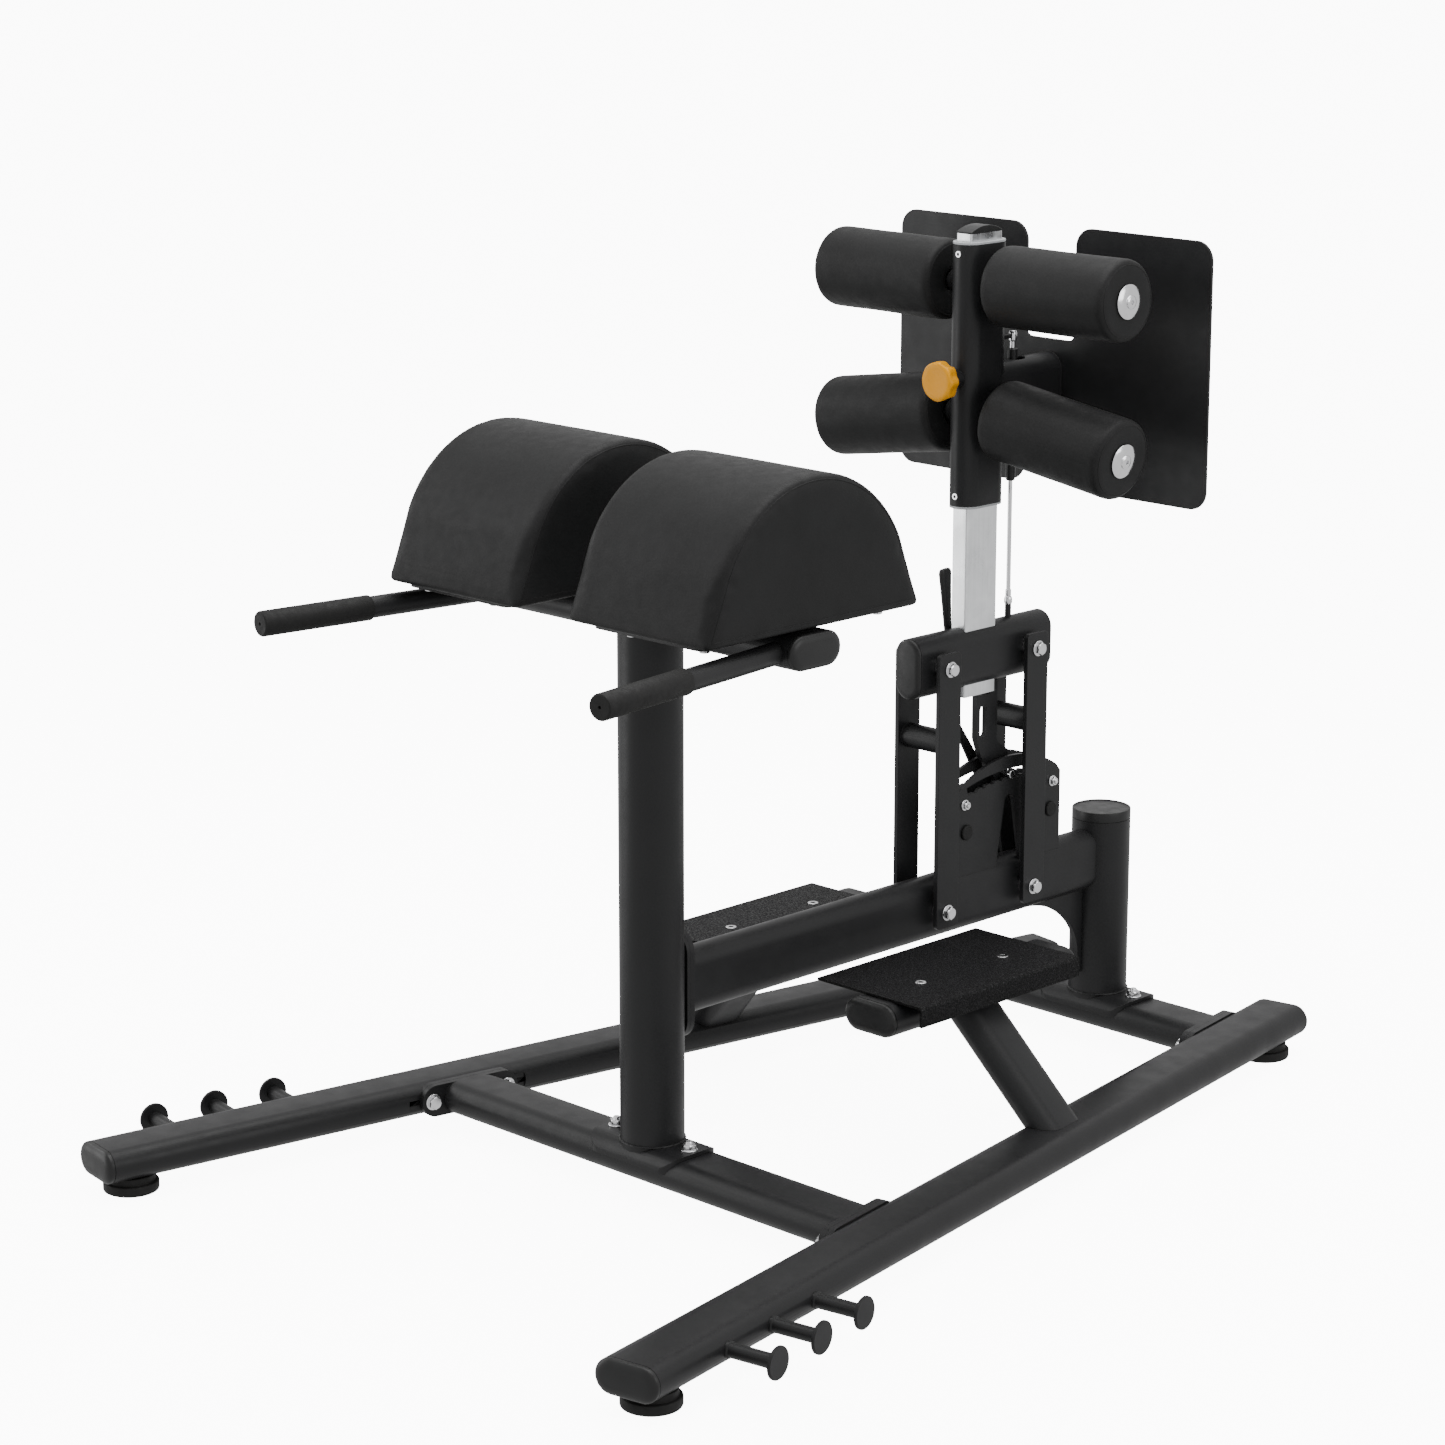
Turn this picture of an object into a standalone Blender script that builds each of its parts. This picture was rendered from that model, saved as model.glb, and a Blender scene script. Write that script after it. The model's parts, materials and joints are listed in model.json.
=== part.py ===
"""Roman chair (glute-ham bench) as separate solids. Metres, +Z up, standing on Z = 0.

X runs across the bench. Y runs from the pads (low Y) to the ankle rollers (high Y).
Every piece is placed in bench coordinates, whose Y = 0 is the middle of the front
cross member, and the empty "bench" moves them so that the origin is under the middle.
"""
import math

import bmesh
import bpy
from mathutils import Matrix, Vector

X_AXIS = Vector((1, 0, 0))
Y_AXIS = Vector((0, 1, 0))
Z_AXIS = Vector((0, 0, 1))

# General
BENCH_SHIFT_Y = -0.295
GAP = 0.0003
BITE = 0.002
WALL = 0.003
CORNER_STEPS = 4
HALF_TURN_STEPS = 6
TURN_STEPS = 16
LARGE_STEPS = 24
SMALL_STEPS = 12

# Base: two splayed rails on feet, joined by two cross members
RAIL_WIDTH = 0.100
RAIL_HEIGHT = 0.050
RAIL_Z = 0.052
FRONT_FOOT = Vector((0.550, -0.536, 0))
REAR_FOOT = Vector((0.261, 1.124, 0))
RAIL_FRONT_OVERHANG = 0.048
RAIL_REAR_OVERHANG = 0.050
CAP_BASE = 0.004
CAP_DOME = 0.008
DOME_TURNS = (math.radians(40), math.radians(80))
DOME_SPREAD = 1.6
FOOT_RADIUS = 0.0415
FOOT_PUCK = 0.016
FOOT_STEP = 0.006
FRONT_POST_Y = 0.0
REAR_POST_Y = 1.017
FLANGE_INSET = 0.0473
FLANGE_THICKNESS = 0.0093
FLANGE_LENGTH = 0.170
FLANGE_HEIGHT = 0.050
DRAIN_RADIUS = 0.012
JOINT_TRIM = 0.020
PEG_START = 0.104
PEG_PITCH = 0.1015
PEG_COUNT = 3
PEG_REACH = 0.128
PEG_RADIUS = 0.0095
PEG_HEAD_RADIUS = 0.023
PEG_HEAD = 0.006

# Round posts with saddle base plates
POST_RADIUS = 0.0475
SADDLE_THICKNESS = 0.006
SADDLE_LENGTH = 0.184
SADDLE_WIDTH = 0.106
SADDLE_CORNER = 0.030
SADDLE_LOW_Z = 0.058
POST_LOW_Z = 0.062
POST_FACE_BITE = 0.0065
REAR_POST_TOP = 0.373
REAR_CAP_TOP = 0.389
REAR_CAP_RIM = 0.004
REAR_CAP_DISH = 0.002

# Pad support and handles
CROSSBAR_WIDTH = 0.100
CROSSBAR_HEIGHT = 0.050
CROSSBAR_Z = 0.868
CROSSBAR_HALF_LENGTH = 0.318
HANDLE_RADIUS = 0.016
HANDLE_END = Vector((0.3465, -0.425, 0.867))
HANDLE_ROOT = Vector((0.2930, -0.0485, 0.867))
GRIP_LENGTH = 0.180
GRIP_RADIUS = 0.0185
GRIP_END = 0.004
GRIP_EDGE = 0.003
GRIP_VENT_RADIUS = 0.002
GRIP_OVERHANG = 0.002
PAD_INNER_X = 0.049
PAD_OUTER_X = 0.328
PAD_BOTTOM = 0.8995
PAD_HALF_DEPTH = 0.2135
PAD_HEIGHT = 0.2170
PAD_CROWN_RADIUS = 0.193
PAD_PLATE_X = 0.1925
PAD_PLATE_WIDTH = 0.215
PAD_PLATE_DEPTH = 0.390
PAD_PLATE_CORNER = 0.015
PAD_PLATE_THICKNESS = 0.0057

# Main beam
BEAM_WIDTH = 0.050
BEAM_HEIGHT = 0.100
BEAM_Z = 0.310
BEAM_FLANGE_Y = 0.0561
BEAM_FLANGE_WIDTH = 0.064
BEAM_FLANGE_THICKNESS = 0.008
BEAM_FLANGE_HEIGHT = 0.165
GUSSET_REACH = 0.153
GUSSET_DROP = 0.110
GUSSET_THICKNESS = 0.008
GUSSET_EDGE = 0.010
GUSSET_TAIL = 0.030
HOLE_REACH = 0.1

# Foot steps beside the beam
STEP_INNER_X = 0.073
STEP_OUTER_X = 0.282
STEP_FRONT_Y = 0.272
STEP_REAR_Y = 0.628
STEP_TOP = 0.2836
STEP_THICKNESS = 0.004
STEP_LIP_BOTTOM = 0.2525
STEP_BEND = 0.006
STEP_TUBE_X = 0.198
STEP_TUBE_FRONT_Y = 0.258
STEP_TUBE_REAR_Y = 0.658
STRUT_FOOT_Y = 0.482
STRUT_WIDTH = 0.090
STRUT_DEPTH = 0.050
STRUT_RUN = 0.167
STRUT_SUNK = 0.020
STRUT_RISE = 0.012

# Parallel links between the beam and the carriage
FRONT_PIVOT_Y = 0.592
REAR_PIVOT_Y = 0.796
CARRIAGE_Z = 0.696
LINK_WIDTH = 0.049
LINK_THICKNESS = 0.008
LINK_INNER_X = 0.038
LINK_END = 0.025
LINK_CORNER = 0.008
LINK_TIE_Z = 0.579
LINK_TIE_RADIUS = 0.019
AXLE_RADIUS = 0.006
AXLE_BOSS_RADIUS = 0.014
AXLE_RUN_GAP = 0.0005
AXLE_WASHER_RADIUS = 0.012
AXLE_HEAD_RADIUS = 0.0095
AXLE_HEAD = 0.009

# Carriage and its post
CARRIAGE_WIDTH = 0.050
CARRIAGE_HEIGHT = 0.095
CARRIAGE_FRONT_Y = 0.549
CARRIAGE_REAR_Y = 0.849
CARRIAGE_CAP_BASE = 0.001
CARRIAGE_CAP_DOME = 0.0055
SPRING_STUD_RADIUS = 0.0045
MAST_WIDTH = 0.030
MAST_DEPTH = 0.0716
MAST_Y = 0.6950
MAST_BOTTOM = 0.634
MAST_TOP = 1.350
MAST_CAP_TOP = 1.3612
MAST_CORNER = 0.003
MAST_CAP_EDGE = 0.002
MAST_PLUG = 0.014
MAST_PLUG_PLAY = 0.0005

# Quadrant plates and lock
QUADRANT_Y = 0.7625
QUADRANT_INNER_X = 0.0145
QUADRANT_THICKNESS = 0.006
QUADRANT_HALF_LENGTH = 0.124
QUADRANT_ARC_Z = 0.314
QUADRANT_ARC_RADIUS = 0.2104
QUADRANT_SHOULDER_Z = 0.479
QUADRANT_SHOULDER = 0.010
QUADRANT_BOTTOM = 0.345
WINDOW_BOTTOM = 0.330
WINDOW_TOP = 0.452
WINDOW_RADIUS = 0.010
WINDOW_HALF_WIDTH = 0.032
WINDOW_LEAN = math.radians(10)
LOCK_Z = 0.4955
LOCK_PIN_RADIUS = 0.0040
LOCK_PLAY = 0.0007
LOCK_LIFT = 0.0034
NOTCH_RADIUS = 0.0066
NOTCH_DROP = 0.0014
NOTCH_COUNT = 9
SWING_LIMIT = math.radians(12)
SPACER_REACH = 0.1045
SPACER_Z = 0.4645
SPACER_RADIUS = 0.008
SPACER_BOLT_RADIUS = 0.005
SPACER_HEAD_RADIUS = 0.0085
SPACER_HEAD = 0.0045
SPACER_END = 0.010
HANGER_THICKNESS = 0.010
RIVET_RADIUS = 0.0025
RIVET_HEAD_RADIUS = 0.0050
RIVET_HEAD = 0.0015
PIN_HEAD_RADIUS = 0.0065
PIN_HEAD = 0.0045
PIN_HEAD_PLAY = 0.002
LEVER_X = -0.0315
LEVER_BAR = 0.004
LEVER_ARM = 0.014
LEVER_RISE = 0.002
# Outline of the hanger below the carriage, as (Y, Z) from the lock pin, rear edge first
HANGER_OUTLINE = (
    (-0.0134, 0.0525), (0.014, 0.0345), (0.014, -0.0075), (-0.014, -0.0115), (-0.050, 0.0325),
    (-0.062, 0.0645))
HANGER_TAB = 0.018
HANGER_MAST_GAP = 0.006
# Outline of the lever's bent bar, as (Y, Z) from the lock pin, rear edge first
LEVER_OUTLINE = (
    (0.008, -0.007), (0.008, 0.007), (-0.009, 0.010), (-0.0595, 0.0795), (-0.0640, 0.1445),
    (-0.0860, 0.2395), (-0.0980, 0.2395), (-0.0745, 0.1405), (-0.0725, 0.0765), (-0.023, -0.007))
# Grip of the lever: start and lean as (Y, Z) from the lock pin, then (thickness, width, height)
LEVER_GRIP_START = (-0.0910, 0.2325)
LEVER_GRIP_LEAN = (-0.09, 1.0)
LEVER_GRIP = (
    (0.0095, 0.012, 0.0), (0.0110, 0.013, 0.010), (0.0115, 0.022, 0.085), (0.0115, 0.024, 0.096),
    (0.0080, 0.019, 0.103))

# Sliding sleeve with rollers and foot plate
SLEEVE_WIDTH = 0.050
SLEEVE_DEPTH = 0.095
SLEEVE_BOTTOM = 0.935
SLEEVE_TOP = 1.334
BUSH_LENGTH = 0.030
BUSH_RIM = 0.0035
BUSH_SUNK = 0.0010
BUSH_PLAY = 0.0006
ROLLER_RADIUS = 0.0636
ROLLER_LENGTH = 0.241
ROLLER_START = 0.050
ROLLER_EDGE = 0.008
UPPER_ROLLER_Z = 1.2725
LOWER_ROLLER_Z = 1.0706
LOWER_ROLLER_DROP = math.radians(8.35)
ROLLER_BORE = 0.0130
STUB_RADIUS = 0.0125
STUB_INSET = 0.008
COLLAR_RADIUS = 0.019
COLLAR_GAP = 0.003
ROLLER_CAP_RADIUS = 0.0262
ROLLER_CAP_TOP_RADIUS = 0.0095
ROLLER_CAP_EDGE = 0.002
ROLLER_CAP_HEIGHT = 0.0078
BOSS_RADIUS = 0.014
BOSS_REACH = 0.016
BOSS_BORE = 0.0066
EYE_STUD_RADIUS = 0.004
EYE_STUD_GAP = 0.0068
PLATE_INNER_X = 0.049
PLATE_OUTER_X = 0.3115
PLATE_BOTTOM = 0.939
PLATE_TOP = 1.346
PLATE_FACE_Y = 0.863
PLATE_THICKNESS = 0.005
PLATE_CORNER = 0.030
WEB_OVERLAP = 0.030
NOTCH_CORNER = 0.012
WEB_BOTTOM = 1.035
WEB_TOP = 1.170
ARM_Z = 1.1025
ARM_SLOT_WIDTH = 0.021
ARM_SLOT_DEPTH = 0.036
ARM_SLOT_Y = 0.782

# Height pin and gas spring
KNOB_Z = 1.1317
KNOB_FACE_Y = 0.5997
KNOB_RADIUS = 0.0290
KNOB_LOBE = 0.0015
KNOB_LOBES = 8
KNOB_LENGTH = 0.025
KNOB_EDGE = 0.003
KNOB_FACE_SCALE = 0.93
PIN_NECK_RADIUS = 0.010
PIN_SHAFT_RADIUS = 0.006
PIN_TIP_RADIUS = 0.003
PIN_TIP = 0.0065
PIN_TIP_GAP = 0.0015
PIN_PLAY = 0.0006
HEIGHT_HOLE_RADIUS = 0.005
HEIGHT_HOLES = 7
HEIGHT_PITCH = 0.025
SPRING_Y = 0.776
SPRING_BOTTOM = 0.9586
SPRING_TOP = 1.165
SPRING_RADIUS = 0.0078
SPRING_NECK_RADIUS = 0.004
SPRING_HEAD = 0.010
ROD_RADIUS = 0.0035
ROD_BORE = 0.0042
ROD_BOTTOM = 0.7625
ROD_OVERLAP = 0.016
SPRING_EYE_Z = 1.184
EYE_RADIUS = 0.0062
EYE_REACH = 0.007
SOCKET_RADIUS = 0.0065
SOCKET_LOW = 0.012
SOCKET_TOP_RADIUS = 0.0045
SOCKET_TOP = 0.024

MATERIALS = {
    "powder_black": ((0.020, 0.020, 0.021), 0.42, 0.0),
    "vinyl_black": ((0.014, 0.014, 0.014), 0.48, 0.0),
    "plastic_black": ((0.018, 0.018, 0.018), 0.45, 0.0),
    "rubber_black": ((0.012, 0.012, 0.012), 0.75, 0.0),
    "grit_black": ((0.025, 0.025, 0.026), 0.85, 0.0),
    "steel_brushed": ((0.62, 0.63, 0.64), 0.35, 1.0),
    "chrome": ((0.80, 0.80, 0.82), 0.12, 1.0),
    "bush_grey": ((0.45, 0.46, 0.47), 0.50, 0.0),
    "amber_plastic": ((0.62, 0.30, 0.02), 0.25, 0.0),
}


# ---------------------------------------------------------------- outlines

def oval(width, height, grow=0.0):
    """Flat oval about the origin: two half circles joined by straight sides."""
    width += 2 * grow
    height += 2 * grow
    radius = min(width, height) / 2
    wide = width >= height
    reach = max(width, height) / 2 - radius
    turn = -math.pi / 2 if wide else 0.0
    points = []
    for half in (0, 1):
        shift = reach if half == 0 else -reach
        for step in range(HALF_TURN_STEPS + 1):
            angle = turn + math.pi * (half + step / HALF_TURN_STEPS)
            x = radius * math.cos(angle) + (shift if wide else 0.0)
            y = radius * math.sin(angle) + (0.0 if wide else shift)
            points.append((x, y))
    return points


def circle(radius, steps=TURN_STEPS, centre=(0.0, 0.0)):
    turns = [2 * math.pi * step / steps for step in range(steps)]
    return [(centre[0] + radius * math.cos(a), centre[1] + radius * math.sin(a)) for a in turns]


def rounded(width, height, radius, centre=(0.0, 0.0), steps=CORNER_STEPS):
    """Rectangle with round corners."""
    points = []
    for quarter, (sx, sy) in enumerate(((1, 1), (-1, 1), (-1, -1), (1, -1))):
        for step in range(steps + 1):
            angle = math.pi / 2 * (quarter + step / steps)
            x = centre[0] + sx * (width / 2 - radius) + radius * math.cos(angle)
            y = centre[1] + sy * (height / 2 - radius) + radius * math.sin(angle)
            points.append((x, y))
    return points


def arc(centre, radius, start, end, steps):
    """Points on a circle from one angle to another, in radians."""
    angles = [start + (end - start) * step / steps for step in range(steps + 1)]
    return [(centre[0] + radius * math.cos(a), centre[1] + radius * math.sin(a)) for a in angles]


# ---------------------------------------------------------------- solids

def frame(origin, along, up=Z_AXIS):
    """Matrix whose Z runs along, whose Y leans to up, and whose X completes them."""
    z = Vector(along).normalized()
    y = (Vector(up) - z * z.dot(Vector(up))).normalized()
    x = y.cross(z)
    return Matrix.Translation(Vector(origin)) @ Matrix((x, y, z)).transposed().to_4x4()


def solid(bm, matrix=Matrix()):
    """Scratch object from a closed bmesh, with its faces pointing out."""
    bmesh.ops.recalc_face_normals(bm, faces=bm.faces)
    mesh = bpy.data.meshes.new("solid")
    bm.to_mesh(mesh)
    bm.free()
    mesh.transform(matrix)
    item = bpy.data.objects.new("solid", mesh)
    bpy.context.scene.collection.objects.link(item)
    return item


def ring(bm, outline, height=0.0):
    verts = [bm.verts.new((x, y, height)) for x, y in outline]
    return [bm.edges.new((verts[i - 1], verts[i])) for i in range(len(verts))]


def prism(outline, length, matrix, inner=None):
    """Outline extruded along the matrix's Z, with a bore where inner is given."""
    bm = bmesh.new()
    edges = ring(bm, outline)
    if inner is None:
        bm.faces.new([edge.verts[1] for edge in edges])
    else:
        bmesh.ops.bridge_loops(bm, edges=edges + ring(bm, inner))
    region = bmesh.ops.extrude_face_region(bm, geom=bm.faces[:])
    moved = [item for item in region["geom"] if isinstance(item, bmesh.types.BMVert)]
    bmesh.ops.translate(bm, verts=moved, vec=(0, 0, length))
    return solid(bm, matrix)


def stacked(sections, matrix):
    """Closed solid through a row of outlines, each given with its height."""
    bm = bmesh.new()
    rings = [ring(bm, outline, height) for outline, height in sections]
    for low, high in zip(rings, rings[1:]):
        bmesh.ops.bridge_loops(bm, edges=low + high)
    for cap in (rings[0], rings[-1]):
        bmesh.ops.contextual_create(bm, geom=cap)
    return solid(bm, matrix)


def turned(profile, matrix, steps=TURN_STEPS, closed=False):
    """Profile of (radius, height) points spun about the matrix's Z."""
    bm = bmesh.new()
    verts = [bm.verts.new((radius, 0, height)) for radius, height in profile]
    edges = [bm.edges.new(pair) for pair in zip(verts, verts[1:])]
    if closed:
        edges.append(bm.edges.new((verts[-1], verts[0])))
    bmesh.ops.spin(bm, geom=verts + edges, angle=2 * math.pi, steps=steps, axis=(0, 0, 1))
    bmesh.ops.remove_doubles(bm, verts=bm.verts, dist=1e-6)
    return solid(bm, matrix)


def box(low, high):
    low = Vector(low)
    high = Vector(high)
    size = high - low
    outline = [(0, 0), (size.x, 0), (size.x, size.y), (0, size.y)]
    return prism(outline, size.z, Matrix.Translation(low))


def rod(start, end, radius, bore=0.0, steps=TURN_STEPS):
    span = Vector(end) - Vector(start)
    up = Y_AXIS if abs(span.normalized().z) > 0.9 else Z_AXIS
    inner = circle(bore, steps) if bore else None
    return prism(circle(radius, steps), span.length, frame(start, span, up), inner)


def oval_tube(start, end, width, height, up=Z_AXIS, wall=WALL, grow=0.0):
    """Flat oval tube, or a solid bar where wall is 0."""
    span = Vector(end) - Vector(start)
    inner = oval(width, height, -wall) if wall else None
    return prism(oval(width, height, grow), span.length, frame(start, span, up), inner)


def combine(target, tool, operation):
    """Boolean of two scratch solids, kept in the first."""
    change = target.modifiers.new("combine", "BOOLEAN")
    change.operation = operation
    change.solver = "EXACT"
    change.object = tool
    view = bpy.context.evaluated_depsgraph_get()
    mesh = bpy.data.meshes.new_from_object(target.evaluated_get(view))
    target.modifiers.clear()
    target.data = mesh
    bpy.data.objects.remove(tool)
    return target


def join(target, *tools):
    for tool in tools:
        combine(target, tool, "UNION")
    return target


def cut(target, *tools):
    for tool in tools:
        combine(target, tool, "DIFFERENCE")
    return target


def common(target, tool):
    return combine(target, tool, "INTERSECT")


def keep(item, name, slot, origin=(0, 0, 0)):
    """Turns a scratch solid into a named part with its origin at a bench point."""
    bm = bmesh.new()
    bm.from_mesh(item.data)
    bmesh.ops.remove_doubles(bm, verts=bm.verts, dist=2e-6)
    bmesh.ops.dissolve_limit(bm, angle_limit=0.002, verts=bm.verts, edges=bm.edges)
    bm.to_mesh(item.data)
    bm.free()
    item.name = name
    item.data.name = name
    item.data.transform(Matrix.Translation(-Vector(origin)))
    item.location = origin
    item.parent = bpy.data.objects["bench"]
    item.data.materials.clear()
    item.data.materials.append(bpy.data.materials[slot])
    item.data.shade_smooth()
    item.data.set_sharp_from_angle(angle=math.radians(32))
    return item


def dome(width, height, matrix, base=CAP_BASE, rise=CAP_DOME):
    """End cap for a flat oval tube: a short band and a shallow dome."""
    sections = [(oval(width, height), 0.0), (oval(width, height), base)]
    for turn in DOME_TURNS:
        inset = -rise * DOME_SPREAD * (1 - math.cos(turn))
        sections.append((oval(width, height, inset), base + rise * math.sin(turn)))
    return stacked(sections, matrix)


# ---------------------------------------------------------------- base

def rail_x(y):
    slope = (REAR_FOOT.x - FRONT_FOOT.x) / (REAR_FOOT.y - FRONT_FOOT.y)
    return FRONT_FOOT.x + (y - FRONT_FOOT.y) * slope


def rail_point(y, side):
    return Vector((side * rail_x(y), y, RAIL_Z))


def rail_line(side):
    """Direction of a rail, from its front foot to its rear foot."""
    return (rail_point(REAR_FOOT.y, side) - rail_point(FRONT_FOOT.y, side)).normalized()


def joint_x(y):
    """Where a cross member's flange meets the rail's flange."""
    return rail_x(y) - FLANGE_INSET


def flange_line(side):
    """Outward normal of the bolted joint, square to the rail."""
    line = rail_line(side)
    return Vector((side * abs(line.y), abs(line.x), 0))


def joint_frame(y, side, offset=0.0):
    """Matrix on the bolted joint at y, moved outwards by offset, whose Z points outwards."""
    out = flange_line(side)
    return frame(Vector((side * joint_x(y), y, RAIL_Z)) + out * offset, out)


def flange(y, side, offset):
    """Flat plate along the rail, from an offset outwards of the joint's plane."""
    return prism(oval(FLANGE_LENGTH, FLANGE_HEIGHT), FLANGE_THICKNESS, joint_frame(y, side, offset))


def peg(number, side):
    """Round storage peg with a flat head, square to the rail's outer side."""
    base = rail_point(FRONT_FOOT.y, side) + rail_line(side) * (PEG_START + number * PEG_PITCH)
    head = PEG_REACH - PEG_HEAD
    profile = [
        (0, RAIL_WIDTH / 2 - BITE), (PEG_RADIUS, RAIL_WIDTH / 2 - BITE), (PEG_RADIUS, head),
        (PEG_HEAD_RADIUS, head), (PEG_HEAD_RADIUS, PEG_REACH), (0, PEG_REACH)]
    return turned(profile, frame(base, flange_line(side)), SMALL_STEPS)


def rail_ends(side):
    line = rail_line(side)
    front = rail_point(FRONT_FOOT.y, side) - line * RAIL_FRONT_OVERHANG
    rear = rail_point(REAR_FOOT.y, side) + line * RAIL_REAR_OVERHANG
    return front, rear


def rail(side, name):
    front, rear = rail_ends(side)
    tube = oval_tube(front, rear, RAIL_WIDTH, RAIL_HEIGHT)
    for y in (FRONT_POST_Y, REAR_POST_Y):
        bulge = oval(FLANGE_LENGTH, FLANGE_HEIGHT, JOINT_TRIM)
        cut(tube, prism(bulge, RAIL_WIDTH, joint_frame(y, side, -RAIL_WIDTH)))
        join(tube, flange(y, side, 0.0))
    join(tube, *[peg(number, side) for number in range(PEG_COUNT)])
    keep(tube, name + "_rail", "powder_black")
    line = rail_line(side)
    for end, point, out in (("front", front, -line), ("rear", rear, line)):
        cap = dome(RAIL_WIDTH, RAIL_HEIGHT, frame(point + out * GAP, out))
        keep(cap, f"{name}_rail_{end}_cap", "plastic_black")


def foot(y, side, name):
    """Stepped rubber foot under a rail."""
    top = RAIL_Z - RAIL_HEIGHT / 2 - GAP
    profile = [
        (0, 0), (FOOT_RADIUS, 0), (FOOT_RADIUS, FOOT_PUCK), (FOOT_RADIUS - FOOT_STEP, FOOT_PUCK),
        (FOOT_RADIUS - FOOT_STEP, top), (0, top)]
    place = rail_point(y, side)
    place.z = 0
    keep(turned(profile, Matrix.Translation(place), LARGE_STEPS), name, "rubber_black")


def cross_member(y, name):
    """Oval tube with slanted plates at its ends, parallel to the rails."""
    reach = Vector((joint_x(y) + JOINT_TRIM, 0, 0))
    middle = Vector((0, y, RAIL_Z))
    tube = oval_tube(middle - reach, middle + reach, RAIL_WIDTH, RAIL_HEIGHT)
    for side in (1, -1):
        beyond = joint_frame(y, side, -GAP - FLANGE_THICKNESS + BITE)
        cut(tube, prism(oval(2 * FLANGE_LENGTH, 2 * FLANGE_HEIGHT), FLANGE_LENGTH, beyond))
        join(tube, flange(y, side, -GAP - FLANGE_THICKNESS))
    keep(cut(tube, rod(middle - reach, middle + reach, DRAIN_RADIUS)), name, "powder_black")


def saddle_bar(y, grow):
    """Solid bar along the cross member at y, for cutting what sits on it."""
    start = Vector((-SADDLE_LENGTH, y, RAIL_Z))
    end = Vector((SADDLE_LENGTH, y, RAIL_Z))
    return oval_tube(start, end, RAIL_WIDTH, RAIL_HEIGHT, wall=0, grow=grow)


def saddle(y):
    """Base plate wrapped over the cross member."""
    shell = cut(saddle_bar(y, GAP + SADDLE_THICKNESS), saddle_bar(y, GAP))
    outline = rounded(SADDLE_LENGTH, SADDLE_WIDTH, SADDLE_CORNER, (0, y))
    return common(shell, prism(outline, RAIL_HEIGHT, Matrix.Translation((0, 0, SADDLE_LOW_Z))))


def round_post(y, top):
    tube = rod((0, y, POST_LOW_Z), (0, y, top), POST_RADIUS, POST_RADIUS - WALL, LARGE_STEPS)
    cut(tube, saddle_bar(y, GAP + BITE))
    return join(tube, saddle(y))


def front_upright():
    tube = round_post(FRONT_POST_Y, CROSSBAR_Z)
    cut(tube, crossbar_solid(GAP))
    start = Vector((0, FRONT_POST_Y + POST_RADIUS - POST_FACE_BITE, BEAM_Z))
    length = BEAM_FLANGE_Y - BEAM_FLANGE_THICKNESS - GAP - start.y
    pad = prism(oval(BEAM_FLANGE_WIDTH, BEAM_FLANGE_HEIGHT), length, frame(start, Y_AXIS))
    keep(join(tube, pad), "front_upright", "powder_black")


def rear_upright():
    keep(round_post(REAR_POST_Y, REAR_POST_TOP), "rear_upright", "powder_black")
    low = REAR_POST_TOP + GAP
    rim = POST_RADIUS - REAR_CAP_RIM
    dish = REAR_CAP_TOP - REAR_CAP_DISH
    profile = [
        (0, low), (POST_RADIUS, low), (POST_RADIUS, REAR_CAP_TOP), (rim, REAR_CAP_TOP),
        (rim, dish), (0, dish)]
    cap = turned(profile, Matrix.Translation((0, REAR_POST_Y, 0)), LARGE_STEPS)
    keep(cap, "rear_upright_cap", "plastic_black")


# ---------------------------------------------------------------- pads and handles

def crossbar_solid(grow=0.0):
    start = Vector((-CROSSBAR_HALF_LENGTH, FRONT_POST_Y, CROSSBAR_Z))
    end = Vector((CROSSBAR_HALF_LENGTH, FRONT_POST_Y, CROSSBAR_Z))
    return oval_tube(start, end, CROSSBAR_WIDTH, CROSSBAR_HEIGHT, wall=0, grow=grow)


def handle_crossbar():
    start = Vector((-CROSSBAR_HALF_LENGTH, FRONT_POST_Y, CROSSBAR_Z))
    end = Vector((CROSSBAR_HALF_LENGTH, FRONT_POST_Y, CROSSBAR_Z))
    bar = oval_tube(start, end, CROSSBAR_WIDTH, CROSSBAR_HEIGHT)
    for side in (1, -1):
        root = Vector((side * HANDLE_ROOT.x, HANDLE_ROOT.y, HANDLE_ROOT.z))
        tip = Vector((side * HANDLE_END.x, HANDLE_END.y, HANDLE_END.z))
        line = (tip - root).normalized()
        join(bar, rod(root, tip - line * (GRIP_END + BITE), HANDLE_RADIUS, HANDLE_RADIUS - WALL))
        name = "right" if side > 0 else "left"
        grip(tip, line, name + "_grip")
    keep(bar, "handle_crossbar", "powder_black")


def grip(tip, line, name):
    """Rubber sleeve, closed but for a vent at its end."""
    bore = HANDLE_RADIUS + GAP
    end = GRIP_LENGTH
    profile = [
        (bore, 0), (GRIP_RADIUS, 0), (GRIP_RADIUS, end - GRIP_EDGE), (GRIP_RADIUS - GRIP_EDGE, end),
        (GRIP_VENT_RADIUS, end), (GRIP_VENT_RADIUS, end - GRIP_END), (bore, end - GRIP_END)]
    start = tip + line * (GRIP_OVERHANG - GRIP_LENGTH)
    keep(turned(profile, frame(start, line), closed=True), name, "rubber_black")


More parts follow.
